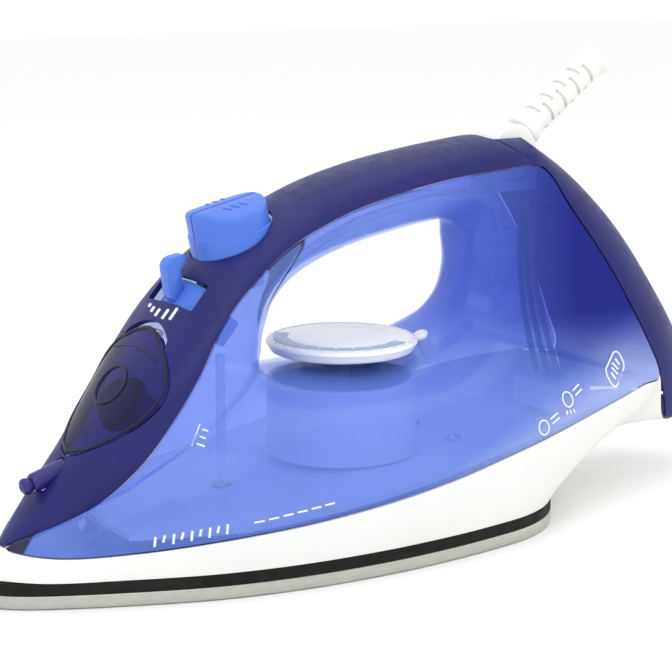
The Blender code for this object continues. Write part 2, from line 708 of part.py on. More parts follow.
def make_heater(look):
    ring = [sole_loop(9.0, SHIELD_BOTTOM), sole_loop(0.0, SHIELD_BOTTOM), sole_loop(0.0, SHIELD_TOP),
            sole_loop(9.0, SHIELD_TOP)]
    closed_ring("heat_shield", ring, look["black"])
    half = [(200.0, 15.0, 22.5), (198.5, 15.5, 17.5), (194.0, 17.5, 15.7), (180.0, 24.0, 15.7),
            (150.0, 29.0, 15.7), (120.0, 29.0, 15.7), (90.0, 26.0, 15.7), (66.0, 20.0, 15.7),
            (48.0, 11.0, 15.7), (41.0, 0.0, 15.7)]
    line = np.array(half + [(s, -y, z) for s, y, z in half[-2::-1]])
    tube("heating_element", run(line, 2), 3.2, look["steel"], 1)
    box("steam_chamber_cover", (69.0, -14.5, 12.3), (111.5, 14.5, 13.5), look["alloy"])
    turned("thermostat", [(0, 22.2), (4.5, 22.2), (4.5, 18.5), (11, 18.5), (11, 12.3), (0, 12.3)],
           (DIAL_S, 0, 0), (0, 0, 1), look["ceramic"])
    turned("thermal_fuse", [(0, 8), (2.2, 8), (2.2, -8), (0, -8)], (168.0, 0, 14.7), (0, 1, 0), look["steel"], 12)
    seat = [(1.0, 24.0), (2.9, 24.0), (2.9, 20.4), (5.5, 20.4), (5.5, 13.8), (1.0, 13.8)]
    turned("drip_valve_seat", seat + seat[:1], (SEAT_S, 0, 0), (0, 0, 1), look["brass"], 16)
    turned("steam_valve_rod", [(0, 67.5), (1.6, 67.5), (1.6, 25.3), (0, 25.3)],
           (SEAT_S, 0, 0), (0, 0, 1), look["steel"], 12)


def make_dial(look):
    up, base = (0, 0, 1), (DIAL_S, 0, 0)
    cap = [(0, 68.0), (18.6, 68.0), (18.6, 67.2), (23.9, 67.2), (23.9, 68.0), (24.8, 67.9), (26.0, 66.6),
           (25.6, 65.2), (23.2, 64.0), (0, 64.0)]
    turned("dial", cap, base, up, look["white"], 40)
    ring = [(19.0, 68.1), (23.5, 68.1), (23.5, 67.5), (19.0, 67.5)]
    turned("dial_ring", ring + ring[:1], base, up, look["ring"], 40)
    turned("dial_shaft", [(0, 63.6), (3, 63.6), (3, 22.6), (0, 22.6)], base, up, look["white"], 16)
    seat = [(5.0, 63.4), (14.0, 63.4), (14.0, 61.0), (5.0, 61.0)]
    turned("dial_base", seat + seat[:1], base, up, look["violet"], 28)
    well = [(24.0, 54.0), (26.0, 54.0), (26.0, 28.2), (24.0, 28.2)]
    turned("thermostat_housing", well + well[:1], base, up, look["white"], 32)
    turned("indicator_lens", [(0, 0.9), (2.2, 0.8), (3.0, 0.2), (3.0, -2.6), (0, -2.6)], LENS_AT, LENS_AXIS,
           look["clear"], 16)
    turned("indicator_lamp", [(0, -3.2), (2.2, -3.2), (2.2, -11.0), (0, -11.0)], LENS_AT, LENS_AXIS,
           look["clear"], 12)


def make_filler(look):
    plug = [(0, -3.0), (7.6, -3.0), (7.6, -4.8), (0, -4.8)]
    turned("fill_plug", plug, PLUG_AT, DOOR_NORMAL, look["violet"], 20)
    seal = [(6.0, -5.2), (8.6, -5.2), (8.6, -6.2), (6.0, -6.2)]
    turned("filler_seal", seal + seal[:1], PLUG_AT, DOOR_NORMAL, look["rubber"], 20)
    neck = [(6.5, -6.6), (9.6, -6.6), (9.6, -8.0), (7.8, -8.0), (6.6, -18.0), (5.2, -18.0), (6.5, -8.0)]
    turned("filler_neck", neck + neck[:1], PLUG_AT, DOOR_NORMAL, look["violet"], 20)
    turned("door_hinge_pin", [(0, 5), (1.0, 5), (1.0, -5), (0, -5)], HINGE_AT, (0, 1, 0), look["steel"], 12)
    body = [(2.1, 6.0), (2.6, 6.0), (3.1, 4.4), (3.1, -7.0), (2.1, -7.0)]
    turned("spray_nozzle_body", body + body[:1], NOZZLE_AT, NOZZLE_AXIS, look["violet"], 20)
    tip = [(0.5, 8.4), (1.2, 8.4), (1.8, 7.2), (1.8, -6.0), (0.5, -6.0)]
    turned("nozzle_tip", tip + tip[:1], NOZZLE_AT, NOZZLE_AXIS, look["violet"], 16)


def make_lever(look):
    """Steam lever: a barrel plate, a web and a hub in one, with a fin standing on the plate."""
    outer, inner, half = LEVER_RADIUS, LEVER_RADIUS - 1.8, math.radians(36)
    angles = np.linspace(-half, half, 9)
    over = [(outer * math.sin(a), outer * math.cos(a)) for a in angles]
    under = [(inner * math.sin(a), inner * math.cos(a)) for a in angles[::-1]]
    web = [(1.6, inner - 0.3), (1.6, 2.6), (3.0, 0.0), (1.6, -2.6), (-1.6, -2.6), (-3.0, 0.0), (-1.6, 2.6),
           (-1.6, inner - 0.3)]
    outline = over + under[:4] + web + under[5:]
    along, normal = np.array(LEVER_ALONG), np.array(LEVER_NORMAL)
    loops = []
    for t in (-4.6, 4.6):
        loops.append([np.array(LEVER_AXIS_AT) + along * t + (0, y, 0) + normal * h for y, h in outline])
    lever = add("steam_lever", stack_mesh("steam_lever", loops[::-1]), look["peri"])
    fin = [(73.4, 86.6), (70.6, 88.0), (69.0, 99.2), (70.2, 100.8), (76.0, 102.2), (78.2, 101.4),
           (78.9, 99.6), (76.0, 97.0), (77.4, 92.0)]
    sides = [[(s, y, z) for s, z in fin] for y in (2.5, -2.5)]
    guide = cutter_from(add("lever_fin", stack_mesh("lever_fin", sides), look["white"], 0))
    join_cut(lever, guide, "UNION")
    return lever


def button_point(x, y, h):
    """A point in the buttons' own frame: x along the top, y across, h up from the crown."""
    spot = np.array(BUTTON_TOP) + np.array(BUTTON_ALONG) * x + np.array(BUTTON_NORMAL) * h
    return spot + (0, y, 0)


def button_loop(shrink, height, side, drop, inset=0.18):
    """Half-round loop on one side of the centre plane, drawn in by shrink."""
    a, b = BUTTON_LENGTH - shrink, BUTTON_WIDTH - shrink
    edge = inset + shrink
    start = math.asin(edge / b)
    loop = []
    for k in np.linspace(start, math.pi - start, 13):
        y = b * math.sin(k)
        loop.append(button_point(a * math.cos(k), side * y, height - drop * (y / BUTTON_WIDTH) ** 2))
    for k in np.linspace(-1, 1, 5)[1:-1]:
        loop.append(button_point(k * a * math.cos(start), side * edge, height))
    return loop if side > 0 else [loop[0]] + loop[:0:-1]


def make_buttons(look):
    for name, pump, plunger, spring, side in (
        ("spray_button", "spray_pump", "spray_plunger", "spray_spring", -1),
        ("boost_button", "boost_pump", "boost_plunger", "boost_spring", 1),
    ):
        drop = BUTTON_DROP
        loops = [button_loop(1.8, -3.2, side, drop), button_loop(1.8, -19.0, side, 0),
                 button_loop(0, -19.0, side, 0), button_loop(0, -1.4, side, drop),
                 button_loop(0.7, -0.4, side, drop), button_loop(2.4, 0, side, drop)]
        add(name, stack_mesh(name, loops), look["peri"], 30)
        base = button_point(0, side * 6.9, 0)
        body = [(0, -25.6), (2.3, -25.6), (2.3, -20.5), (4.4, -20.5), (4.4, -27.2), (0, -27.2)]
        turned(pump, body, base, BUTTON_NORMAL, look["white"], 16)
        turned(plunger, [(0, -5.4), (3.6, -5.4), (3.6, -6.6), (1.9, -6.6), (1.9, -22.2), (0, -22.2)],
               base, BUTTON_NORMAL, look["violet"], 14)
        coil = []
        for k in range(5 * 10 + 1):
            a = k / 10 * 2 * math.pi
            h = -7.4 - 12.3 * k / 50
            coil.append(button_point(3.1 * math.cos(a), side * 6.9 + 3.1 * math.sin(a), h))
        tube(spring, coil, 0.4, look["steel"], 2)


def make_tail(look):
    """Cord outlet, wiring and pipes in the handle and heel."""
    turned("cord_swivel", [(0, 7.4), (9.2, 7.4), (10.0, 6.6), (10.0, -6.6), (9.2, -7.4), (0, -7.4)],
           BARREL_AT, (0, 1, 0), look["white"], 28)
    guard = [(3.0, 53.5), (5.6, 53.5), (6.1, 51.8), (5.1, 49.6), (5.0, 14.5), (6.0, 13.4), (6.0, 10.4),
             (3.0, 10.4)]
    item = turned("cord_guard", guard + guard[:1], BARREL_AT, GUARD_AXIS, look["white"], 24)
    slots = []
    for k in range(3):
        for side, name, shift in ((-1, "left", 0.0), (1, "right", 3.2)):
            middle = np.array(BARREL_AT) + np.array(GUARD_AXIS) * (24.0 + 7.4 * k + shift)
            guide = box(f"{name}_guard_slot_{k}", (0, 0, 0), (3.4, 4.4, 5.2), look["white"])
            guide.matrix_world = placed(middle + np.array((0, side * 5.0, 0)), GUARD_AXIS)
            slots.append(cutter_from(guide))
    cut(item, *slots)
    low = BARREL_AT[2] - 13.5
    saddle = box("cord_saddle", (198.2, -7.6, low), (219.6, 7.6, BARREL_AT[2] - 3.0), look["white"])
    cut(saddle, rod("saddle_bore", BARREL_AT, (0, 1, 0), 10.4, -12, 12, 32))
    tee = [(0, 9), (4, 9), (4, 4), (5.5, 4), (5.5, -4), (4, -4), (4, -9), (0, -9)]
    turned("pump_tee", tee, (208.0, 0, 90.0), (0, 0, 1), look["clear"], 16)
    hose = run([(208.0, 0, 79.8), (206.0, 2.0, 74.0), (198.0, 10.0, 60.0), (184.0, 22.0, 47.0),
                (170.0, 30.0, 36.0)], 3)
    tube("suction_hose", hose, 2.2, look["clear"], 1)
    for name, side in (("spray_tube", -1), ("boost_tube", 1)):
        line = run([(206.0, side * 1.9, 99.6), (204.0, side * 4.0, 106.0), (196.0, side * 6.5, 112.0),
                    (170.0, side * 7.0, 113.0), (140.0, side * 7.0, 108.0), (118.0, side * 7.0, 99.0),
                    (107.0, side * 7.0, 94.0)], 2)
        tube(name, line, 1.6, look["clear"], 1)
    terminals = box("terminal_block", (224.0, -11.0, 30.5), (244.0, 11.0, 41.0), look["ceramic"], 0.8)
    cut(terminals, *(rod(f"terminal_bore_{k}", (239.0, y, 0), (0, 0, 1), 1.6, 36, 42, 12)
                     for k, y in enumerate((-7.0, 7.0))))
    box("cable_clamp", (222.6, -6.0, 98.0), (228.0, 6.0, 106.0), look["black"], 0.6)
    for name, side, kind in (("live_lead", -1, "copper"), ("earth_lead", 0, "rubber"), ("neutral_lead", 1, "navy")):
        line = run([(216.6, side * 3.4, 109.0), (219.6, side * 3.4, 100.0), (220.0, side * 3.4, 88.0),
                    (224.0, side * 5.0, 66.0), (232.0, side * 6.5, 42.0)], 2)
        tube(name, line, 1.1, look[kind], 1)


def screw(name, base, axis, look, length=9.0, radius=1.5, head=2.8):
    """A pan-head screw whose head sits on base."""
    form = [(0, 1.8), (head * 0.7, 1.8), (head, 0.9), (head, 0), (radius, 0), (radius, -length), (0, -length)]
    turned(name, form, base, axis, look["steel"], 12)


def make_screws(look):
    for name, side in (("left", -1), ("right", 1)):
        screw(f"{name}_terminal_screw", (239.0, side * 7.0, 41.3), (0, 0, 1), look, 4.6, 1.3, 2.6)


def make_deck_screws(look):
    for name, s, y, top in DECK_SCREWS:
        screw(f"{name}_deck_screw", (s, y, top + GAP), (0, 0, 1), look, top - 12.2, 1.4, 2.8)


def main():
    global PARTS, CUTTERS, LOOK
    clear_scene()
    PARTS = new_collection("steam_iron")
    CUTTERS = new_collection("cutters")
    LOOK = looks()
    make_soleplate(LOOK)
    make_vents(LOOK)
    make_heater(LOOK)
    make_openings(make_shells(LOOK))
    make_dial(LOOK)
    make_filler(LOOK)
    make_lever(LOOK)
    make_buttons(LOOK)
    make_tail(LOOK)
    make_screws(LOOK)
    make_deck_screws(LOOK)


main()
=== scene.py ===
"""Looks of the steam iron: fine surfaces, procedural materials, lights and camera round the CAD frame.

Shape tables are in millimetres in the iron's own frame, as in the part: s runs from the nose of
the soleplate towards the heel, y across the iron and z up from the ironing face.
"""

import json
import math

import bmesh
import bpy
import numpy as np
from mathutils import Matrix, Vector
from mathutils.bvhtree import BVHTree

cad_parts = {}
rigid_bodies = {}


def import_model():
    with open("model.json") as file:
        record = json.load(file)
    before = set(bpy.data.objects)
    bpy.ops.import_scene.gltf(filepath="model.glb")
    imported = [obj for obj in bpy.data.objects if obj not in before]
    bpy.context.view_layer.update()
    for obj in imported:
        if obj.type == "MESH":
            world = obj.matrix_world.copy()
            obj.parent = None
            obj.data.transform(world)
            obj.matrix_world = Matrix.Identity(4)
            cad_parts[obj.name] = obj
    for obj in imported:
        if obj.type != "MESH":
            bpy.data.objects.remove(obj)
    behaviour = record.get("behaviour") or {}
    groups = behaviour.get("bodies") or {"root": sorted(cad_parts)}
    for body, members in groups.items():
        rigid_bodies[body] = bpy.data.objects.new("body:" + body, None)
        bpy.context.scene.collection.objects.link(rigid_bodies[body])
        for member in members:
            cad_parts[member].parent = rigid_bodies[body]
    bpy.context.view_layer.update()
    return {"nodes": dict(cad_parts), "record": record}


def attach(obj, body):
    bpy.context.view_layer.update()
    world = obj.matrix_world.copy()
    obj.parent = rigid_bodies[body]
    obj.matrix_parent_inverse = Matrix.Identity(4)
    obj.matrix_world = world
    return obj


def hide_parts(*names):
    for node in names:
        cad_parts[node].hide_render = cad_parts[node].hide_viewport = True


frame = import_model()

MM = 0.001
LENGTH = 299.8
SEAM = 0.38
SHELL = 2.0
SKIRT_SHELL = 2.2
DOOR_WALL = 1.8
STEPS = 8
TANK_ROWS = 26
COVER_ROWS = 18
SKIRT_ROWS = 14

# Ironing face: half outline of the soleplate from nose to heel, (s, y)
SOLE_OUTLINE = [
    (0.0, 0.0), (1.4, 5.0), (6.5, 12.0), (17.0, 19.3), (38.0, 30.0), (64.0, 41.0),
    (91.0, 48.0), (119.0, 51.6), (144.0, 52.2), (166.0, 50.9), (183.0, 48.4),
    (196.5, 42.2), (206.0, 32.5), (211.5, 20.0), (213.5, 9.0), (214.0, 0.0),
]
SOLE_POINTS = 110
SHEET_THICKNESS = 1.2
SHEET_TOP = 4.2
SHIELD_BOTTOM = 4.5
SHIELD_TOP = 8.1
SKIRT_BOTTOM = 8.4

# Sections of the water tank around the handle opening. Each runs from the opening's rim on the
# centre plane (s0, z0) to the tank's seam (s1, z1, y1). rim and belly are the half widths of the
# two inner control points, and reach is how far the second stands back from the seam.
TANK_SECTIONS = [
    # s0, z0, rim, reach, belly, s1, z1, y1
    (142.0, 59.8, 42.0, 0.50, 51.5, 146.0, 28.2, 54.2),
    (126.0, 59.8, 42.0, 0.50, 51.0, 120.0, 24.6, 53.3),
    (113.0, 60.0, 41.5, 0.50, 48.5, 92.0, 21.6, 49.4),
    (106.0, 60.8, 41.0, 0.50, 45.0, 65.0, 19.2, 42.0),
    (103.0, 62.0, 40.0, 0.45, 42.0, 41.0, 17.0, 31.6),
    (101.3, 64.0, 38.5, 0.38, 38.5, 20.7, 15.6, 18.6),
    (100.4, 66.5, 37.0, 0.31, 35.5, 10.2, 16.8, 3.2),
    (100.0, 69.5, 35.0, 0.31, 34.0, 23.5, 24.0, 12.2),
    (99.8, 72.0, 33.0, 0.36, 33.0, 36.0, 31.0, 18.2),
    (100.0, 75.0, 30.0, 0.42, 32.0, 48.0, 41.3, 22.4),
    (100.6, 78.6, 26.0, 0.45, 30.0, 58.0, 54.0, 25.0),
    (102.4, 83.0, 22.0, 0.50, 28.0, 67.5, 68.3, 26.2),
    (106.0, 87.2, 17.5, 0.50, 25.5, 77.0, 83.0, 25.0),
    (112.0, 91.2, 14.5, 0.50, 22.5, 91.5, 95.7, 22.3),
    (121.5, 95.2, 12.5, 0.55, 20.0, 108.5, 105.7, 20.0),
    (136.0, 99.2, 11.5, 0.55, 19.2, 128.0, 113.0, 19.4),
    (152.0, 102.2, 11.5, 0.55, 18.9, 148.5, 117.7, 19.1),
    (168.0, 104.4, 11.5, 0.55, 18.9, 170.0, 121.0, 19.0),
    (180.0, 105.2, 12.5, 0.55, 18.9, 192.0, 122.6, 18.9),
    (185.0, 102.2, 15.5, 0.60, 18.3, 211.0, 122.6, 18.6),
    (185.8, 96.0, 18.0, 0.62, 18.2, 224.0, 107.0, 20.0),
    (186.0, 88.0, 19.0, 0.62, 19.4, 240.0, 85.0, 23.4),
    (183.2, 79.6, 20.5, 0.58, 25.0, 253.4, 61.0, 27.4),
    (178.0, 73.0, 24.0, 0.54, 36.0, 260.5, 44.0, 29.6),
    (173.0, 68.6, 29.0, 0.52, 44.5, 246.0, 43.2, 36.4),
    (168.0, 65.0, 35.0, 0.50, 48.5, 220.0, 40.4, 44.6),
    (162.0, 62.2, 39.0, 0.50, 51.0, 190.0, 35.6, 50.6),
    (154.0, 60.4, 41.5, 0.50, 52.0, 168.0, 32.0, 53.2),
]
NOSE_SECTION = 6
CORNER_SECTION = 19
HEEL_SECTION = 23

# Crown of the navy covers on the centre plane, one point for each tank section it meets, (s, z)
COVER_CROWN = [
    (9.7, 16.9), (15.8, 23.6), (25.0, 34.0), (35.2, 44.8), (45.2, 57.6), (56.6, 71.4),
    (68.6, 84.8), (81.0, 98.8), (99.7, 110.6), (122.7, 120.9), (145.8, 127.0), (169.4, 130.6),
    (188.0, 132.7),
]
REAR_CROWN = [(209.4, 133.2), (233.0, 118.5), (255.6, 97.4), (277.6, 68.0), (288.6, 50.6)]
SADDLE_SEAM = 208.5
SADDLE_TOP = (196.0, 133.3)
REAR_FOOT = [((263.2, 35.0, 29.4), (294.9, 37.5)), ((264.8, 26.9, 28.8), (299.8, 24.8))]
CROWN_FULLNESS = 0.62

# Skirt sections below the tank: foot (s, y) on the outline, and two control points (s, z, y)
SKIRT_SECTIONS = {
    6: ((0.8, 2.6), (3.5, 11.5, 3.0), (9.0, 15.5, 3.6)),
    5: ((16.0, 18.6), (17.0, 10.8, 18.9), (19.4, 13.2, 18.7)),
    4: ((38.0, 29.8), (38.5, 11.5, 30.6), (40.2, 14.2, 31.6)),
    3: ((64.0, 40.8), (64.3, 12.0, 41.4), (64.8, 15.7, 42.0)),
    2: ((91.0, 47.8), (91.3, 13.0, 48.6), (91.8, 17.5, 49.3)),
    1: ((119.0, 51.3), (119.3, 14.0, 52.4), (119.8, 19.5, 53.3)),
    0: ((144.0, 51.9), (144.6, 16.0, 53.4), (145.6, 22.5, 54.4)),
    27: ((164.0, 50.8), (165.0, 17.0, 52.4), (167.4, 25.0, 53.7)),
    26: ((182.0, 48.3), (183.5, 17.5, 50.2), (188.8, 27.0, 51.2)),
    25: ((196.0, 42.2), (201.0, 17.5, 43.8), (217.0, 27.5, 45.0)),
    24: ((206.0, 32.2), (214.0, 21.5, 33.5), (242.0, 28.0, 37.3)),
    23: ((211.0, 21.5), (222.0, 23.0, 23.5), (258.0, 27.5, 30.4)),
}
SKIRT_BACK = [
    ((212.8, 14.0), (225.0, 22.5, 16.0), (250.0, 27.0, 25.5), (264.4, 26.5, 28.6)),
    ((213.7, 7.5), (227.0, 22.5, 9.0), (262.0, 26.5, 16.0), (288.0, 25.0, 16.0)),
    ((214.0, 0.0), (228.0, 22.5, 0.0), (268.0, 25.0, 0.0), (299.6, 24.2, 0.0)),
]

# Inner deck of the tank
FLOOR_LIFT = 1.5
FLOOR_LOW = 21.6
FLOOR_TOP = 27.5
FLOOR_INSET = 5.0
FLOOR_ROWS = 33

# Screws that hold the deck to the casting: name, s, y and the deck's height there
DECK_SCREWS = [("front", 120.0, 0.0, 26.2), ("left", 178.0, -12.0, 27.6), ("right", 178.0, 12.0, 27.6)]

# Temperature dial and drip valve
DIAL_S = 138.5
SEAT_S = 90.0
LENS_AT = (168.5, -4.5, 65.2)
LENS_AXIS = (-0.50, 0.0, 0.87)

# Buttons: crown of the top face, and its own axes
BUTTON_TOP = (92.4, 0, 117.4)
BUTTON_ALONG = (0.978, 0, 0.208)
BUTTON_NORMAL = (-0.208, 0, 0.978)
BUTTON_LENGTH = 13.8
BUTTON_WIDTH = 14.2
BUTTON_DROP = 3.0

# Steam lever: middle of its slot, and its swing axis below
LEVER_ON = (73.7, 0.0, 90.8)
LEVER_ALONG = (0.6606, 0.0, 0.7507)
LEVER_NORMAL = (-0.7507, 0.0, 0.6606)
LEVER_AXIS_AT = (91.34, 0.0, 75.28)
LEVER_RADIUS = 22.4
LEVER_WEB_TOP = 15.0

# Fill door: outline of (t, y) up the nose's slope, its hinge pin and the plug below it
DOOR_ON = (48.0, 0.0, 60.0)
DOOR_ALONG = (0.6, 0.0, 0.8)
DOOR_NORMAL = (-0.8, 0.0, 0.6)
DOOR_HALF = [
    (25.8, 0.0), (24.6, 5.5), (22.0, 10.5), (16.5, 17.8), (11.3, 21.3), (6.5, 22.2), (1.0, 21.4),
    (-6.1, 18.8), (-13.9, 13.6), (-20.8, 6.2), (-23.0, 0.0),
]
HINGE_AT = (65.4, 0.0, 78.2)
NOZZLE_AT = (26.0, 0.0, 36.2)
NOZZLE_AXIS = (-0.96, 0.0, -0.28)

# Cord outlet
BARREL_AT = (208.0, 0.0, 126.9)
GUARD_AXIS = (0.816, 0.0, 0.578)


def at(s, y, z):
    """World position in metres of a design point in millimetres."""
    return Vector(((s - LENGTH / 2) * MM, y * MM, z * MM))


def run(values, steps, closed=False):
    """Points on a smooth curve through the given rows, steps to each stretch."""
    rows = np.array(values, float)
    count = len(rows)
    found = []
    for i in range(count if closed else count - 1):
        if closed:
            a, b, c, d = (rows[(i + k) % count] for k in (-1, 0, 1, 2))
        else:
            b, c = rows[i], rows[i + 1]
            a = rows[i - 1] if i else 2 * b - c
            d = rows[i + 2] if i + 2 < count else 2 * c - b
        for k in range(steps):
            t = k / steps
            found.append(
                b + 0.5 * t * (c - a + t * (2 * a - 5 * b + 4 * c - d + t * (3 * (b - c) + d - a)))
            )
    if not closed:
        found.append(rows[-1])
    return np.array(found)


def bezier(a, b, c, d, count=24):
    """Points along one cubic curve."""
    t = np.linspace(0, 1, count + 1)[:, None]
    a, b, c, d = (np.array(p, float) for p in (a, b, c, d))
    return (1 - t) ** 3 * a + 3 * (1 - t) ** 2 * t * b + 3 * (1 - t) * t**2 * c + t**3 * d


def resample(line, count, start=0.0, end=0.0):
    """The line cut back by start and end millimetres and divided evenly."""
    steps = np.linalg.norm(np.diff(line, axis=0), axis=1)
    along = np.concatenate([[0], np.cumsum(steps)])
    spots = np.linspace(start, along[-1] - end, count + 1)
    return np.stack([np.interp(spots, along, line[:, k]) for k in range(3)], 1)


def tank_half(section):
    """Near half of a tank section, from the opening's rim to the seam, as (s, y, z)."""
    s0, z0, rim, reach, belly, s1, z1, y1 = section
    inner = (s1 + (s0 - s1) * reach, belly, z1 + (z0 - z1) * reach)
    return bezier((s0, 0, z0), (s0, rim, z0), inner, (s1, y1, z1))


def cover_half(section, crown):
    """Near half of a cover section, from the tank's seam to the crown, in line with the tank."""
    s0, z0, _, reach, belly, s1, z1, y1 = section
    top_s, top_z = crown
    back = math.hypot(s0 - s1, z0 - z1) * reach
    height = math.hypot(top_s - s1, top_z - z1)
    widening = (y1 - belly) / back * height / 2
    shoulder = ((s1 + top_s) / 2, y1 + widening, (z1 + top_z) / 2)
    return bezier((s1, y1, z1), shoulder, (top_s, y1 * CROWN_FULLNESS, top_z), (top_s, 0, top_z))


def mirrored(half):
    """A whole section from its far side to its near side, from a half that starts on the centre plane."""
    other = half[::-1].copy()
    other[:, 1] *= -1
    return np.concatenate([other[:-1], half])


def mesh_from(name, points, faces):
    mesh = bpy.data.meshes.new(name)
    mesh.from_pydata([at(*p) for p in points], [], faces)
    mesh.update()
    return mesh


def grid_normals(rows, closed=False):
    """Outward unit vector at each point of a grid of rows."""
    if closed:
        down = np.roll(rows, -1, 0) - np.roll(rows, 1, 0)
    else:
        down = np.gradient(rows, axis=0)
    found = np.cross(np.gradient(rows, axis=1), down)
    return found / np.maximum(np.linalg.norm(found, axis=2), 1e-9)[:, :, None]


def unit(vectors):
    return vectors / np.linalg.norm(vectors, axis=-1)[..., None]


def wall_mesh(name, rows, outward, thickness, closed=False):
    """A wall of even thickness under a grid of rows, with its rims filled in."""
    count, width = rows.shape[:2]
    size = count * width
    depth = np.broadcast_to(thickness, (count,))[:, None, None]
    points = np.concatenate([rows.reshape(-1, 3), (rows - outward * depth).reshape(-1, 3)])
    faces = []
    for i in range(count if closed else count - 1):
        j = (i + 1) % count
        for k in range(width - 1):
            quad = (i * width + k, i * width + k + 1, j * width + k + 1, j * width + k)
            faces.append(quad)
            faces.append(tuple(v + size for v in reversed(quad)))
        for k, a, b in ((0, j, i), (width - 1, i, j)):
            a, b = a * width + k, b * width + k
            faces.append((a, a + size, b + size, b))
    if not closed:
        for k in range(width - 1):
            last = size - width + k
            faces.append((k + 1, k, k + size, k + 1 + size))
            faces.append((last, last + 1, last + 1 + size, last + size))
    return mesh_from(name, points, faces)


def stack_mesh(name, loops):
    """A closed solid from equal loops of points, capped at the first and the last."""
    loops = np.array(loops)
    count, width = loops.shape[:2]
    faces = [tuple(range(width))[::-1], tuple((count - 1) * width + k for k in range(width))]
    for i in range(count - 1):
        for k in range(width):
            n = (k + 1) % width
            faces.append((i * width + k, i * width + n, (i + 1) * width + n, (i + 1) * width + k))
    return mesh_from(name, loops.reshape(-1, 3), faces)


def skirt_rows(ring):
    """Near side of the skirt, one row from foot to top for each step from nose to heel."""
    halves = []
    for key in SKIRT_SECTIONS:
        foot, low, high = SKIRT_SECTIONS[key]
        s1, z1, y1 = TANK_SECTIONS[key][5:]
        halves.append((*foot, SKIRT_BOTTOM, low[0], low[2], low[1], high[0], high[2], high[1], s1, y1, z1))
    for foot, low, high, top in SKIRT_BACK:
        halves.append((*foot, SKIRT_BOTTOM, low[0], low[2], low[1], high[0], high[2], high[1],
                       top[0], top[2], top[1]))
    halves = run(halves, STEPS)
    for k in range((len(SKIRT_SECTIONS) - 1) * STEPS + 1):
        halves[k][9:12] = ring[NOSE_SECTION * STEPS - k][[5, 7, 6]]
    return np.array([resample(bezier(p[0:3], p[3:6], p[6:9], p[9:12]), SKIRT_ROWS, 0, SEAM)
                     for p in halves])


def pinched(count, spots, wall, closed=False):
    """Wall thickness for each row of a shell, thinner at the rows where it comes to a corner."""
    reach = 7 * STEPS
    found = []
    for k in range(count):
        away = min(min(abs(k - m), count - abs(k - m) if closed else count) for m in spots)
        found.append(wall * min(0.2 + 0.8 * away / reach, 1.0))
    return np.array(found)


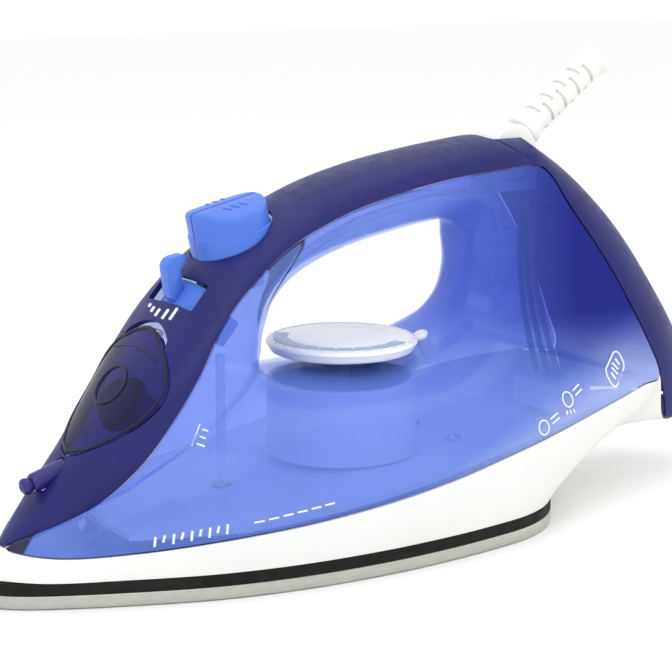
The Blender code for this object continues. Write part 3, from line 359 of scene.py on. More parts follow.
def shell_rows():
    """Rows, outward directions and wall of each shell: {name: (rows, outward, wall, closed)}."""
    ring = run(TANK_SECTIONS, STEPS, closed=True)
    nose, corner, heel = (n * STEPS for n in (NOSE_SECTION, CORNER_SECTION, HEEL_SECTION))
    trims = [SEAM * (2 if nose <= k <= nose + 3 * STEPS // 2 else 1) for k in range(len(ring))]
    tank = np.array([mirrored(resample(tank_half(p), TANK_ROWS, 0, t)) for p, t in zip(ring, trims)])
    front_sides = ring[nose:corner + 1].copy()
    front_sides[0] += 0.075 * STEPS * (ring[nose + 1] - ring[nose])
    front_sides[:, 5] = np.minimum(front_sides[:, 5], SADDLE_SEAM)
    front_crown = run(COVER_CROWN + [SADDLE_TOP], STEPS)
    cover = np.array([
        mirrored(resample(cover_half(p, c), COVER_ROWS, SEAM, 0)[::-1])[::-1]
        for p, c in zip(front_sides, front_crown)
    ])
    start = ring[corner].copy()
    start[5] = SADDLE_SEAM + 2 * SEAM
    inner = ring[heel][:5]
    feet = run([(*ring[heel], *REAR_CROWN[-1])] + [(*inner, *side, *c) for side, c in REAR_FOOT], STEPS)[1:]
    rear_sides = [start] + list(ring[corner:heel + 1]) + [p[:8] for p in feet]
    first_crown = (SADDLE_TOP[0] + 2 * SEAM, SADDLE_TOP[1])
    rear_crown = [first_crown] + list(run(REAR_CROWN, STEPS)) + [p[8:] for p in feet]
    rear = np.array([
        mirrored(resample(cover_half(p, c), COVER_ROWS, SEAM, 0)[::-1])[::-1]
        for p, c in zip(rear_sides, rear_crown)
    ])
    near = skirt_rows(ring)
    far = near[::-1][1:] * (1, -1, 1)
    skirt = np.concatenate([near, far])
    last = (len(SKIRT_SECTIONS) - 1) * STEPS

    out_tank = grid_normals(tank, closed=True)
    out_cover = grid_normals(cover)
    out_rear = grid_normals(rear)
    out_skirt = grid_normals(skirt, closed=True)
    out_skirt[:, 0, 2] = 0
    out_skirt[:, 0] = unit(out_skirt[:, 0])
    count, half = len(ring), len(near)

    def share(first, i, k, second, j, m):
        middle = unit(first[i, k] + second[j, m])
        first[i, k] = middle
        second[j, m] = middle

    for k in range(1, len(cover)):
        share(out_cover, k, -1, out_tank, nose + k, 0)
        share(out_cover, k, 0, out_tank, nose + k, -1)
    for k in range(1, heel - corner + 2):
        share(out_rear, k, -1, out_tank, corner + k - 1, 0)
        share(out_rear, k, 0, out_tank, corner + k - 1, -1)
    out_cover[-1] = unit(out_cover[-1] + out_rear[0])
    out_rear[0] = out_cover[-1]
    for k in range(1, last + 1):
        share(out_skirt, k, -1, out_tank, (nose - k) % count, -1)
        share(out_skirt, len(skirt) - k, -1, out_tank, (nose - k) % count, 0)
    out_rear[-1, :, 2] = 0
    out_rear[-1] = unit(out_rear[-1])
    for k in range(last + 1, 2 * half - 1 - last):
        out_skirt[k, -1, 2] = 0
        edge = out_skirt[k, -1] + out_skirt[k, 0] * 0.5
        edge[2] = 0
        out_skirt[k, -1] = unit(edge)
    forward = np.array((-1.0, 0.0, 0.0))
    out_tank[nose, 0] = out_tank[nose, -1] = forward
    out_cover[0] = forward
    out_skirt[0, -1] = out_skirt[-1, -1] = forward

    walls = {
        "tank": pinched(count, (nose, corner, heel), SHELL, True),
        "cover": pinched(len(cover), (0, len(cover) - 1), SHELL),
        "rear": pinched(len(rear), (0, heel - corner + 1), SHELL),
        "skirt": pinched(len(skirt), (0, last, len(skirt) - last), SKIRT_SHELL, True),
    }
    return {
        "water_tank": (tank, out_tank, walls["tank"], True),
        "handle_cover": (cover, out_cover, walls["cover"], False),
        "rear_cover": (rear, out_rear, walls["rear"], False),
        "skirt": (skirt, out_skirt, walls["skirt"], True),
        "fill_door": (cover, out_cover, DOOR_WALL, False),
    }


def floor_rows():
    """Rows of the tank's inner deck, a shallow dish that rises towards the heel."""
    ring = run(TANK_SECTIONS, STEPS, closed=True)
    floor = []
    for key in range(4 * STEPS, -4 * STEPS - 1, -1):
        s1, z1, y1 = ring[key % len(ring)][5:]
        low = min(max(z1 + FLOOR_LIFT, FLOOR_LOW), FLOOR_TOP)
        rim = max(z1 + FLOOR_LIFT - low, 0)
        row = [(s1, -k * (y1 - FLOOR_INSET), low + rim * k**4) for k in np.linspace(-1, 1, FLOOR_ROWS)]
        floor.append(row)
    return np.array(floor)


def mirror_outline(half):
    """A whole outline from its y >= 0 half, listed from top to bottom."""
    return list(half) + [(t, -y) for t, y in half[::-1] if y > 0]


def button_point(x, y, h):
    """A point in the buttons' own frame: x along the top, y across, h up from the crown."""
    spot = np.array(BUTTON_TOP) + np.array(BUTTON_ALONG) * x + np.array(BUTTON_NORMAL) * h
    return spot + (0, y, 0)


def sole_loop(inset, z, count=34):
    """The soleplate's outline as a closed loop, drawn in by inset, at height z."""
    half = run(SOLE_OUTLINE, 6)
    along = np.gradient(half, axis=0)
    along[0], along[-1] = (0, 1), (0, -1)
    along = unit(along)
    moved = half + np.stack([along[:, 1], -along[:, 0]], 1) * inset
    first = next(k for k in range(len(moved)) if np.all(moved[k + 1:-1, 1] > 0.05))
    if first:
        t = moved[first, 1] / (moved[first, 1] - moved[first + 1, 1])
        tip = moved[first] + t * (moved[first + 1] - moved[first])
        moved = np.concatenate([[tip], moved[first + 1:]])
    moved = np.concatenate([moved, np.full((len(moved), 1), z)], 1)
    moved[0, 1] = moved[-1, 1] = 0
    moved = resample(moved, count)
    return np.concatenate([moved, moved[-2:0:-1] * (1, -1, 1)])[::-1]


# ---------------------------------------------------------------- mesh helpers


def face_outward(mesh):
    """Turns a closed mesh right side out."""
    form = bmesh.new()
    form.from_mesh(mesh)
    if form.calc_volume(signed=True) < 0:
        bmesh.ops.reverse_faces(form, faces=form.faces)
    form.to_mesh(mesh)
    form.free()


def piece(name, mesh, look, body, nodes=(), sharp=38):
    """A visible piece that rides on a body and stands for the CAD nodes named."""
    face_outward(mesh)
    item = bpy.data.objects.new(name, mesh)
    bpy.context.scene.collection.objects.link(item)
    mesh.materials.clear()
    mesh.materials.append(look)
    mesh.shade_smooth()
    if sharp:
        mesh.set_sharp_from_angle(angle=math.radians(sharp))
    if body:
        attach(item, body)
    if nodes:
        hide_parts(*nodes)
    return item


def boolean(item, guide, operation="DIFFERENCE"):
    """Cuts the item with a guide solid, or keeps what they share."""
    step = item.modifiers.new(guide.name, "BOOLEAN")
    step.operation = operation
    step.solver = "MANIFOLD"
    step.object = guide


def guide_from(mesh):
    face_outward(mesh)
    item = bpy.data.objects.new("guide", mesh)
    bpy.context.scene.collection.objects.link(item)
    item["guide"] = True
    return item


def settle(*items, sharp=38):
    """Applies the items' modifiers and takes every guide away."""
    for item in items:
        graph = bpy.context.evaluated_depsgraph_get()
        mesh = bpy.data.meshes.new_from_object(item.evaluated_get(graph))
        item.modifiers.clear()
        item.data = mesh
    for item in list(bpy.data.objects):
        if item.get("guide"):
            bpy.data.objects.remove(item, do_unlink=True)
    for item in items:
        item.data.set_sharp_from_angle(angle=math.radians(sharp))


def bore(base, axis, radius, low, high, steps=32):
    """A round guide along the axis."""
    profile = [(0, high), (radius, high), (radius, low), (0, low)]
    return guide_from(lathe_mesh("guide", profile, base, axis, steps))


def turned(name, profile, base, axis, look, body, nodes=(), steps=96, sharp=38):
    """A turned piece. Its profile is closed into a ring if it doesn't start on the axis."""
    if profile[0][0] > 0:
        profile = profile + profile[:1]
    return piece(name, lathe_mesh(name, profile, base, axis, steps), LOOK[look], body, nodes, sharp)


def prism(outline, origin, along, low, high):
    """A guide solid: outline of (t, y) in the plane of along and y, from low to high on its normal."""
    origin, along = np.array(origin, float), unit(np.array(along, float))
    normal = unit(np.cross(along, (0, 1, 0)))
    loops = [
        [origin + along * t + np.array((0, y, 0)) + normal * depth for t, y in outline]
        for depth in (low, high)
    ]
    return guide_from(stack_mesh("guide", loops))


def rounded(outline, radius, segments=5):
    """An outline with each corner rounded off."""
    points = [np.array(p, float) for p in outline]
    found = []
    for k, corner in enumerate(points):
        before, after = points[k - 1] - corner, points[(k + 1) % len(points)] - corner
        reach = min(radius, 0.45 * np.linalg.norm(before), 0.45 * np.linalg.norm(after))
        start, end = corner + unit(before) * reach, corner + unit(after) * reach
        for t in np.linspace(0, 1, segments):
            found.append((1 - t) ** 2 * start + 2 * (1 - t) * t * corner + t**2 * end)
    return found


def frame_at(base, axis):
    """Matrix in metres that stands local +Z along the axis at the base."""
    up = Vector(axis).normalized()
    side = Vector((0, 1, 0)) if abs(up.y) < 0.9 else Vector((1, 0, 0))
    front = side.cross(up).normalized()
    turn = Matrix((front, up.cross(front), up)).transposed().to_4x4()
    return Matrix.Translation(at(*base)) @ turn


def lathe_mesh(name, profile, base, axis, steps=96):
    """A turned mesh from (radius, height) pairs. A profile that ends where it starts is a ring."""
    closed = profile[0] == profile[-1]
    rings = profile[:-1] if closed else profile
    place = frame_at(base, axis)
    points, rows = [], []
    for radius, height in rings:
        if radius <= 1e-6:
            rows.append([len(points)])
            points.append(place @ Vector((0, 0, height * MM)))
            continue
        rows.append(list(range(len(points), len(points) + steps)))
        for k in range(steps):
            a = 2 * math.pi * k / steps
            spot = Vector((radius * math.cos(a), radius * math.sin(a), height))
            points.append(place @ (spot * MM))
    faces = []
    pairs = list(zip(rows, rows[1:])) + ([(rows[-1], rows[0])] if closed else [])
    for upper, lower in pairs:
        for k in range(steps):
            n = (k + 1) % steps
            quad = (upper[k % len(upper)], lower[k % len(lower)],
                    lower[n % len(lower)], upper[n % len(upper)])
            faces.append(tuple(dict.fromkeys(quad)))
    mesh = bpy.data.meshes.new(name)
    mesh.from_pydata(points, [], [f for f in faces if len(f) > 2])
    mesh.update()
    return mesh


def arc(centre, radius, start, end, count=6):
    """Points of an arc in a profile, in degrees."""
    found = []
    for a in np.radians(np.linspace(start, end, count)):
        found.append((float(centre[0] + radius * math.cos(a)), float(centre[1] + radius * math.sin(a))))
    return found


def swept(name, points, radius, look, body, cyclic=False, sides=10):
    """A round tube through points of (s, y, z), as a mesh."""
    points = [np.array(p, float) for p in points]
    count = len(points)
    rows = []
    side = None
    for k, p in enumerate(points):
        before = points[k - 1] if (k or cyclic) else p
        after = points[(k + 1) % count] if (k + 1 < count or cyclic) else p
        along = unit(after - before)
        if side is None:
            side = np.cross(along, (0, 0, 1)) if abs(along[2]) < 0.9 else np.cross(along, (1, 0, 0))
        side = unit(side - along * np.dot(side, along))
        up = np.cross(along, side)
        r = radius[k] if isinstance(radius, (list, tuple, np.ndarray)) else radius
        rows.append([p + r * (math.cos(a) * side + math.sin(a) * up)
                     for a in np.linspace(0, 2 * math.pi, sides, endpoint=False)])
    faces = []
    for i in range(count if cyclic else count - 1):
        j = (i + 1) % count
        for k in range(sides):
            n = (k + 1) % sides
            faces.append((i * sides + k, j * sides + k, j * sides + n, i * sides + n))
    if not cyclic:
        faces.append(tuple(range(sides)))
        faces.append(tuple((count - 1) * sides + k for k in range(sides))[::-1])
    mesh = mesh_from(name, [p for row in rows for p in row], faces)
    return piece(name, mesh, look, body)


def joined(name, items, body, nodes=()):
    """One piece made of several meshes with the same look."""
    form = bmesh.new()
    for item in items:
        form.from_mesh(item.data)
    mesh = bpy.data.meshes.new(name)
    form.to_mesh(mesh)
    form.free()
    look = items[0].data.materials[0]
    for item in items:
        bpy.data.objects.remove(item, do_unlink=True)
    return piece(name, mesh, look, body, nodes)


# ---------------------------------------------------------------- materials


SOCKETS = {
    "metallic": "Metallic", "coat_weight": "Coat Weight", "coat_roughness": "Coat Roughness",
    "specular": "Specular IOR Level", "subsurface_weight": "Subsurface Weight",
}


class Look:
    """A node material built from short calls."""

    def __init__(self, name, base, roughness, **sockets):
        self.material = bpy.data.materials.new(name)
        self.material.use_nodes = True
        self.nodes = self.material.node_tree.nodes
        self.links = self.material.node_tree.links
        self.shader = self.nodes["Principled BSDF"]
        self.shader.inputs["Base Color"].default_value = (*base, 1)
        self.shader.inputs["Roughness"].default_value = roughness
        for socket, value in sockets.items():
            self.shader.inputs[SOCKETS[socket]].default_value = value
        self.where = self.node("ShaderNodeTexCoord").outputs["Object"]
        self.bump = None

    def node(self, kind, **values):
        made = self.nodes.new(kind)
        for key, value in values.items():
            setattr(made, key, value)
        return made

    def noise(self, scale, detail=3.0, stretch=None):
        """Noise of scale features to a metre, stretched along the axes if asked."""
        source = self.where
        if stretch:
            mapping = self.node("ShaderNodeMapping")
            mapping.inputs["Scale"].default_value = stretch
            self.links.new(source, mapping.inputs["Vector"])
            source = mapping.outputs["Vector"]
        found = self.node("ShaderNodeTexNoise")
        found.inputs["Scale"].default_value = scale
        found.inputs["Detail"].default_value = detail
        self.links.new(source, found.inputs["Vector"])
        return found.outputs["Fac"]

    def ramp(self, value, low, high, to_low=0.0, to_high=1.0):
        found = self.node("ShaderNodeMapRange")
        ends = {"From Min": low, "From Max": high, "To Min": to_low, "To Max": to_high}
        for socket, number in ends.items():
            found.inputs[socket].default_value = number
        self.links.new(value, found.inputs["Value"])
        return found.outputs["Result"]

    def mixed(self, factor, first, second):
        found = self.node("ShaderNodeMix", data_type="RGBA")
        self.links.new(factor, found.inputs["Factor"])
        for socket, colour in ((6, first), (7, second)):
            if isinstance(colour, tuple):
                found.inputs[socket].default_value = (*colour, 1)
            else:
                self.links.new(colour, found.inputs[socket])
        return found.outputs[2]

    def times(self, first, second):
        return self.math("MULTIPLY", first, second)

    def math(self, operation, first, second=0.0, third=0.0):
        found = self.node("ShaderNodeMath", operation=operation)
        for socket, value in zip(found.inputs, (first, second, third)):
            if isinstance(value, (int, float)):
                socket.default_value = value
            else:
                self.links.new(value, socket)
        return found.outputs[0]

    def colour(self, source):
        self.links.new(source, self.shader.inputs["Base Color"])
        return self

    def roughness(self, source):
        self.links.new(source, self.shader.inputs["Roughness"])
        return self

    def relief(self, source, distance, strength=1.0):
        """Bump of that height in metres on top of any before it."""
        made = self.node("ShaderNodeBump")
        made.inputs["Distance"].default_value = distance
        made.inputs["Strength"].default_value = strength
        self.links.new(source, made.inputs["Height"])
        if self.bump:
            self.links.new(self.bump, made.inputs["Normal"])
        self.bump = made.outputs["Normal"]
        self.links.new(self.bump, self.shader.inputs["Normal"])
        return self

    def axes(self):
        found = self.node("ShaderNodeSeparateXYZ")
        self.links.new(self.where, found.inputs[0])
        return found.outputs

    def see_through(self, tint, share, edge):
        """Lets tinted light straight through. share of the surface scatters, and edge more at a slant."""
        clear = self.node("ShaderNodeBsdfTransparent")
        if isinstance(tint, tuple):
            clear.inputs["Color"].default_value = (*tint, 1)
        else:
            self.links.new(tint, clear.inputs["Color"])
        blend = self.node("ShaderNodeMixShader")
        weight = self.node("ShaderNodeLayerWeight")
        weight.inputs["Blend"].default_value = 0.35
        factor = self.math("MULTIPLY_ADD", weight.outputs["Facing"], edge, share)
        self.links.new(self.math("MINIMUM", factor, 0.95), blend.inputs[0])
        self.links.new(clear.outputs[0], blend.inputs[1])
        self.links.new(self.shader.outputs[0], blend.inputs[2])
        self.links.new(blend.outputs[0], self.nodes["Material Output"].inputs["Surface"])
        return self


def moulded(name, base, deep, rough, grain=0.000003, **sockets):
    """Moulded plastic: slight colour drift, uneven polish and a fine spark-eroded grain."""
    look = Look(name, base, rough, **sockets)
    look.colour(look.mixed(look.ramp(look.noise(38, 4), 0.3, 0.7), deep, base))
    look.roughness(look.ramp(look.noise(260, 5), 0.25, 0.75, rough * 0.8, rough * 1.25))
    look.relief(look.noise(2600, 2), grain)
    return look


def finished(look, polish, relief):
    """Uneven polish from (scale, detail, low, high) and relief from (scale, detail, height, strength)."""
    scale, detail, low, high = polish
    look.roughness(look.ramp(look.noise(scale, detail), 0.3, 0.7, low, high))
    scale, detail, height, strength = relief
    return look.relief(look.noise(scale, detail), height, strength)


def navy_look():
    """Navy plastic with a dotted grip on the top of the handle."""
    navy = moulded("navy_plastic", (0.016, 0.017, 0.135), (0.012, 0.012, 0.110), 0.42, 0.000004,
                   specular=0.22)
    x, y, z = navy.axes()
    pitch = 2 * math.pi / DOT_PITCH
    dots = navy.times(navy.math("SINE", navy.times(x, pitch)), navy.math("SINE", navy.times(y, pitch)))
    start, end = GRIP
    grip = navy.times(navy.ramp(x, start, start + 0.004), navy.ramp(x, end - 0.004, end, 1, 0))
    grip = navy.times(grip, navy.ramp(navy.math("ABSOLUTE", y), 0.0105, 0.0125, 1, 0))
    grip = navy.times(grip, navy.ramp(z, 0.108, 0.112))
    return navy.relief(navy.times(navy.ramp(dots, 0.35, 0.75), grip), 0.00035)


def tank_look():
    """Milky blue plastic with painted light and shade: painted paler low down, painted deep-blue shade at the
    heel and painted dark shade under the nose cover.
    """
    tank = finished(Look("blue_tank", (0.035, 0.09, 0.72), 0.10), (120, 3, 0.07, 0.14), (70, 2, 0.00004, 0.6))
    x, y, z = tank.axes()
    rise = tank.math("MULTIPLY_ADD", x, -0.36, z)
    # Painted light low down and painted shade at the heel: the tint and scatter colour are painted paler low
    # on the tank and a deeper blue at the top of the heel.
    high = tank.ramp(rise, 0.022, 0.034)
    deep = tank.times(tank.ramp(x, 0.015, 0.075), tank.ramp(z, 0.045, 0.07))
    tint = tank.mixed(high, (0.92, 0.95, 1.0), (0.82, 0.87, 1.0))
    tint = tank.mixed(deep, tint, (0.42, 0.48, 0.90))
    milk = tank.mixed(high, (0.42, 0.54, 0.98), (0.20, 0.34, 0.96))
    milk = tank.mixed(deep, milk, (0.022, 0.032, 0.42))
    milk = tank.mixed(tank.ramp(tank.noise(30, 3), 0.3, 0.7, 0.0, 0.12), milk, (0.05, 0.10, 0.80))
    # Painted shade: a near-black band on the tank near the centre plane under the nose cover, made nearly
    # opaque in the share below.
    painted_shade_width = tank.ramp(z, 0.035, 0.06, 0.009, 0.020)
    under = tank.times(tank.math("LESS_THAN", tank.math("ABSOLUTE", y), painted_shade_width),
                       tank.ramp(x, -0.040, -0.038, 1, 0))
    depth = tank.math("MULTIPLY_ADD", x, -0.8, tank.times(z, 0.6))
    under = tank.times(under, tank.ramp(depth, *PAINTED_SHADE_SPINE))
    tank.colour(tank.mixed(under, milk, (0.010, 0.010, 0.06)))
    # The scatter share falls with height as part of the painted light low down.
    share = tank.ramp(rise, 0.022, 0.034, 0.46, 0.30)
    return tank.see_through(tint, tank.math("MAXIMUM", share, tank.times(under, 0.97)), 0.12)


def sole_look():
    """Coated sheet, brushed along its length."""
    sole = Look("coated_sheet", (0.46, 0.46, 0.40), 0.34, metallic=0.55)
    streaks = sole.ramp(sole.noise(900, 4, (0.12, 1, 1)), 0.35, 0.65)
    sole.colour(sole.mixed(streaks, (0.44, 0.44, 0.40), (0.48, 0.48, 0.43)))
    sole.roughness(sole.ramp(sole.noise(500, 4, (0.1, 1, 1)), 0.3, 0.7, 0.26, 0.42))
    return sole.relief(sole.noise(1600, 3, (0.06, 1, 1)), 0.000002)


# Moulded plastics: name, colour, colour of the drift, roughness, grain height, other sockets
MOULDED = {
    "white": ("white_plastic", (0.82, 0.82, 0.78), (0.79, 0.79, 0.75), 0.33, 3e-6,
              {"subsurface_weight": 0.05}),
    "dial": ("dial_white", (0.86, 0.86, 0.87), (0.845, 0.845, 0.855), 0.3, 8e-7, {}),
    "peri": ("periwinkle_plastic", (0.075, 0.185, 0.68), (0.065, 0.17, 0.64), 0.38, 3e-6,
             {"specular": 0.35}),
    "black": ("black_plastic", (0.012, 0.011, 0.010), (0.008, 0.007, 0.006), 0.7, 6e-6, {"specular": 0.2}),
    "violet": ("violet_plastic", (0.026, 0.021, 0.17), (0.021, 0.017, 0.14), 0.3, 3e-6, {"specular": 0.35}),
    "edge": ("door_edge", (0.008, 0.006, 0.035), (0.006, 0.005, 0.028), 0.4, 3e-6, {"specular": 0.3}),
    "lens": ("lens_plastic", (0.86, 0.87, 0.92), (0.82, 0.83, 0.9), 0.15, 4e-6, {}),
    "rubber": ("rubber", (0.03, 0.03, 0.035), (0.02, 0.02, 0.024), 0.75, 3e-5, {}),
    "ring": ("grey_blue_plastic", (0.32, 0.42, 0.60), (0.29, 0.39, 0.57), 0.35, 3e-6, {}),
    "ceramic": ("ceramic", (0.80, 0.77, 0.70), (0.74, 0.71, 0.64), 0.6, 3e-5, {}),
    "copper": ("lead_wire", (0.40, 0.10, 0.07), (0.34, 0.08, 0.05), 0.5, 2e-5, {}),
    "ink": ("print_white", (0.88, 0.90, 0.95), (0.84, 0.86, 0.92), 0.4, 3e-6, {}),
    "mark": ("print_grey", (0.42, 0.46, 0.55), (0.38, 0.42, 0.50), 0.4, 3e-6, {}),
}

# Metals: name, colour, roughness, metallic, polish and relief
METALS = {
    "alloy": ("cast_alloy", (0.55, 0.55, 0.56), 0.5, 0.9, (300, 4, 0.4, 0.65), (900, 5, 0.00006, 1.0)),
    "steel": ("steel", (0.58, 0.58, 0.60), 0.28, 1.0, (700, 3, 0.2, 0.36), (2500, 2, 0.000005, 1.0)),
    "brass": ("brass", (0.68, 0.50, 0.22), 0.3, 1.0, (600, 3, 0.22, 0.4), (2500, 2, 0.000005, 1.0)),
}


def make_looks():
    looks = {"navy": navy_look(), "tank": tank_look(), "sole": sole_look()}
    for key, (name, base, deep, rough, grain, sockets) in MOULDED.items():
        looks[key] = moulded(name, base, deep, rough, grain, **sockets)
    for key, (name, base, rough, metallic, polish, relief) in METALS.items():
        looks[key] = finished(Look(name, base, rough, metallic=metallic), polish, relief)
    smoke = Look("smoke_clear", (0.02, 0.015, 0.10), 0.09, coat_weight=0.4, coat_roughness=0.03)
    finished(smoke, (140, 3, 0.06, 0.13), (60, 2, 0.00005, 0.6))
    drift = smoke.ramp(smoke.noise(40, 2), 0.3, 0.7)
    smoke.colour(smoke.mixed(drift, (0.010, 0.008, 0.06), (0.018, 0.015, 0.09)))
    looks["smoke"] = smoke.see_through((0.26, 0.25, 0.60), 0.30, 0.25)
    clear = Look("clear_plastic", (0.80, 0.88, 0.98), 0.12, coat_weight=0.2)
    finished(clear, (200, 3, 0.08, 0.2), (300, 2, 0.00002, 1.0))
    looks["clear"] = clear.see_through((0.93, 0.96, 1.0), 0.35, 0.4)
    return {name: look.material for name, look in looks.items()}


# Navy grip: pitch of its dots, and its two ends along the iron. Spine: where the tank's painted shade under
# the nose cover starts and ends, measured along the fill door's normal
DOT_PITCH = 0.0024
GRIP = ((114 - LENGTH / 2) * MM, (193 - LENGTH / 2) * MM)
PAINTED_SHADE_SPINE = tuple((0.8 * (LENGTH / 2 - DOOR_ON[0]) + 0.6 * DOOR_ON[2] - drop) * MM for drop in (24, 23))
LOOK = make_looks()


# ---------------------------------------------------------------- shells


def button_outline(grow):
    return [((BUTTON_LENGTH + grow) * math.cos(a), (BUTTON_WIDTH + grow) * math.sin(a))
            for a in np.linspace(0, 2 * math.pi, 72, endpoint=False)]


def door_outline(grow, top):
    """The fill door's outline, smoothed, and let out by grow and by top at the hinge."""
    half = run(np.array(DOOR_HALF), 5)
    lifted = [(t + (top if t > 20 else 0) + grow * np.sign(t) * (abs(t) > 20), y + (grow if y > 0.1 else 0))
              for t, y in half]
    return mirror_outline([tuple(float(v) for v in p) for p in lifted])


def make_shells():
    shells = {}
    for name, (rows, outward, wall, closed) in shell_rows().items():
        look = {"water_tank": "tank", "skirt": "white", "fill_door": "smoke"}.get(name, "navy")
        body = "fill_door" if name == "fill_door" else "iron_body"
        mesh = wall_mesh(name + "_form", rows, outward, wall, closed)
        shells[name] = piece(name + "_form", mesh, LOOK[look], body, (name,))
    cover, rear, door = shells["handle_cover"], shells["rear_cover"], shells["fill_door"]
    slot = rounded([(5.2, 13.8), (-5.2, 13.8), (-5.2, -13.8), (5.2, -13.8)], 1.2)
    boolean(cover, prism(button_outline(0.4), BUTTON_TOP, BUTTON_ALONG, -30, 4))
    boolean(cover, prism(slot, LEVER_ON, LEVER_ALONG, -12, 6))
    boolean(cover, prism(door_outline(0.45, 1.8), DOOR_ON, DOOR_ALONG, -8.6, 14))
    boolean(door, prism(door_outline(0, 0), DOOR_ON, DOOR_ALONG, -8.1, 13), "INTERSECT")
    boolean(door, bore(HINGE_AT, (0, 1, 0), 1.35, -11, 11, 24))
    boolean(cover, bore(NOZZLE_AT, NOZZLE_AXIS, 3.5, -7.5, 14, 48))
    notch = rounded([(195.6, 8.2), (195.6, -8.2), (221.0, -8.2), (221.0, 8.2)], 4.0, 8)
    for shell in (cover, rear):
        loops = [[(s, y, z) for s, y in notch] for z in (109.0, 150.0)]
        boolean(shell, guide_from(stack_mesh("guide", loops)))
    tank = shells["water_tank"]
    boolean(tank, bore((DIAL_S, 0, 0), (0, 0, 1), 4, 20, 70, 48))
    boolean(tank, bore(LENS_AT, LENS_AXIS, 3.4, -8, 8))
    settle(cover, rear, door, tank)
    return shells


def make_deck():
    """The white inner deck of the tank."""
    rows = floor_rows()
    up = np.zeros_like(rows) + (0, 0, 1)
    mesh = wall_mesh("tank_deck", rows, up, 2.0)
    deck = piece("tank_deck", mesh, LOOK["white"], "iron_body", ("tank_floor",))
    holes = [(DIAL_S, 0, 4.0), (SEAT_S, 0, 3.5)] + [(s, y, 1.8) for _, s, y, _ in DECK_SCREWS]
    for s, y, radius in holes:
        boolean(deck, bore((s, y, 0), (0, 0, 1), radius, 15, 40))
    settle(deck)


# ---------------------------------------------------------------- soleplate


def make_sole():
    """The sheet with its rounded edge and steam holes, and the black ring over it."""
    profile = [(0.9, 0.0), (0.35, 0.12), (0.08, 0.45), (0.0, 0.9), (0.0, SHEET_TOP - 0.4),
               (0.25, SHEET_TOP), (SHEET_THICKNESS, SHEET_TOP), (SHEET_THICKNESS, SHEET_THICKNESS)]
    lip = [sole_loop(inset, z, SOLE_POINTS) for inset, z in profile]
    mesh = stack_mesh("sole_sheet", lip)
    sheet = piece("sole_sheet", mesh, LOOK["sole"], "iron_body", ("soleplate_sheet",), 50)
    holes = []
    for s, y in ((26, 6), (34, 11), (43, 16), (53, 21), (64, 26), (78, 31), (94, 35), (112, 37)):
        holes += [(s, -y), (s, y)]
    holes += [(20, 0), (34, 0), (50, -5), (50, 5)]
    form = bmesh.new()
    hole = [(0, 9), (1.2, 9), (1.2, 0.5), (1.9, -0.4), (1.9, -1), (0, -1)]
    for s, y in holes:
        form.from_mesh(lathe_mesh("hole", hole, (s, y, 0), (0, 0, 1), 20))
    guide = bpy.data.meshes.new("guide")
    form.to_mesh(guide)
    form.free()
    boolean(sheet, guide_from(guide))
    settle(sheet, sharp=50)
    profile = [(9.0, SHIELD_BOTTOM), (0.3, SHIELD_BOTTOM), (0.0, SHIELD_BOTTOM + 0.4),
               (0.0, SHIELD_TOP - 0.4), (0.3, SHIELD_TOP), (9.0, SHIELD_TOP)]
    loops = np.array([sole_loop(inset, z, SOLE_POINTS) for inset, z in profile])
    count, width = loops.shape[:2]
    faces = []
    for i in range(count):
        j = (i + 1) % count
        for k in range(width):
            n = (k + 1) % width
            faces.append((i * width + k, i * width + n, j * width + n, j * width + k))
    mesh = mesh_from("gap_ring", loops.reshape(-1, 3), faces)
    piece("gap_ring", mesh, LOOK["black"], "iron_body", ("heat_shield",))


# ---------------------------------------------------------------- controls


def button_loop(shrink, height, side, drop, inset=0.18, count=40):
    """Half-round loop on one side of the centre plane, drawn in by shrink."""
    a, b = BUTTON_LENGTH - shrink, BUTTON_WIDTH - shrink
    edge = inset + shrink * 0.4
    start = math.asin(edge / b)

    def spot(x, y):
        return button_point(x, side * y, height - drop * (y / BUTTON_WIDTH) ** 2)

    loop = [spot(a * math.cos(k), b * math.sin(k)) for k in np.linspace(start, math.pi - start, count)]
    loop += [spot(k * a * math.cos(start), edge) for k in np.linspace(-1, 1, 13)[1:-1]]
    return loop if side > 0 else [loop[0]] + loop[:0:-1]


def make_buttons():
    """The two half-round caps, with three waves moulded on each."""
    drop = BUTTON_DROP
    levels = [(1.8, -3.2, drop), (1.8, -19.0, 0), (0, -19.0, 0), (0, -9.3, 0), (0.05, -8.5, 0.3),
              (0.45, -8.1, 0.5), (0.5, -2.0, drop), (0.6, -1.1, drop), (0.95, -0.5, drop),
              (1.6, -0.12, drop), (2.6, 0, drop), (5.0, 0.05, drop), (7.6, 0.05, drop)]
    for name, side in (("spray_button", -1), ("boost_button", 1)):
        loops = [button_loop(shrink, height, side, fall) for shrink, height, fall in levels]
        piece(name + "_cap", stack_mesh(name + "_cap", loops), LOOK["peri"], name, (name,), 32)
        strokes = []
        for x in (-3.0, 0.0, 3.0):
            line = []
            for t in np.linspace(-1, 1, 7):
                y = side * (6.2 + 1.9 * t)
                height = 0.12 - drop * (y / BUTTON_WIDTH) ** 2
                line.append(button_point(x + 0.6 * math.sin(2.5 * t), y, height))
            strokes.append(swept("stroke", line, 0.22, LOOK["peri"], None, sides=6))
        joined(name + "_relief", strokes, name)


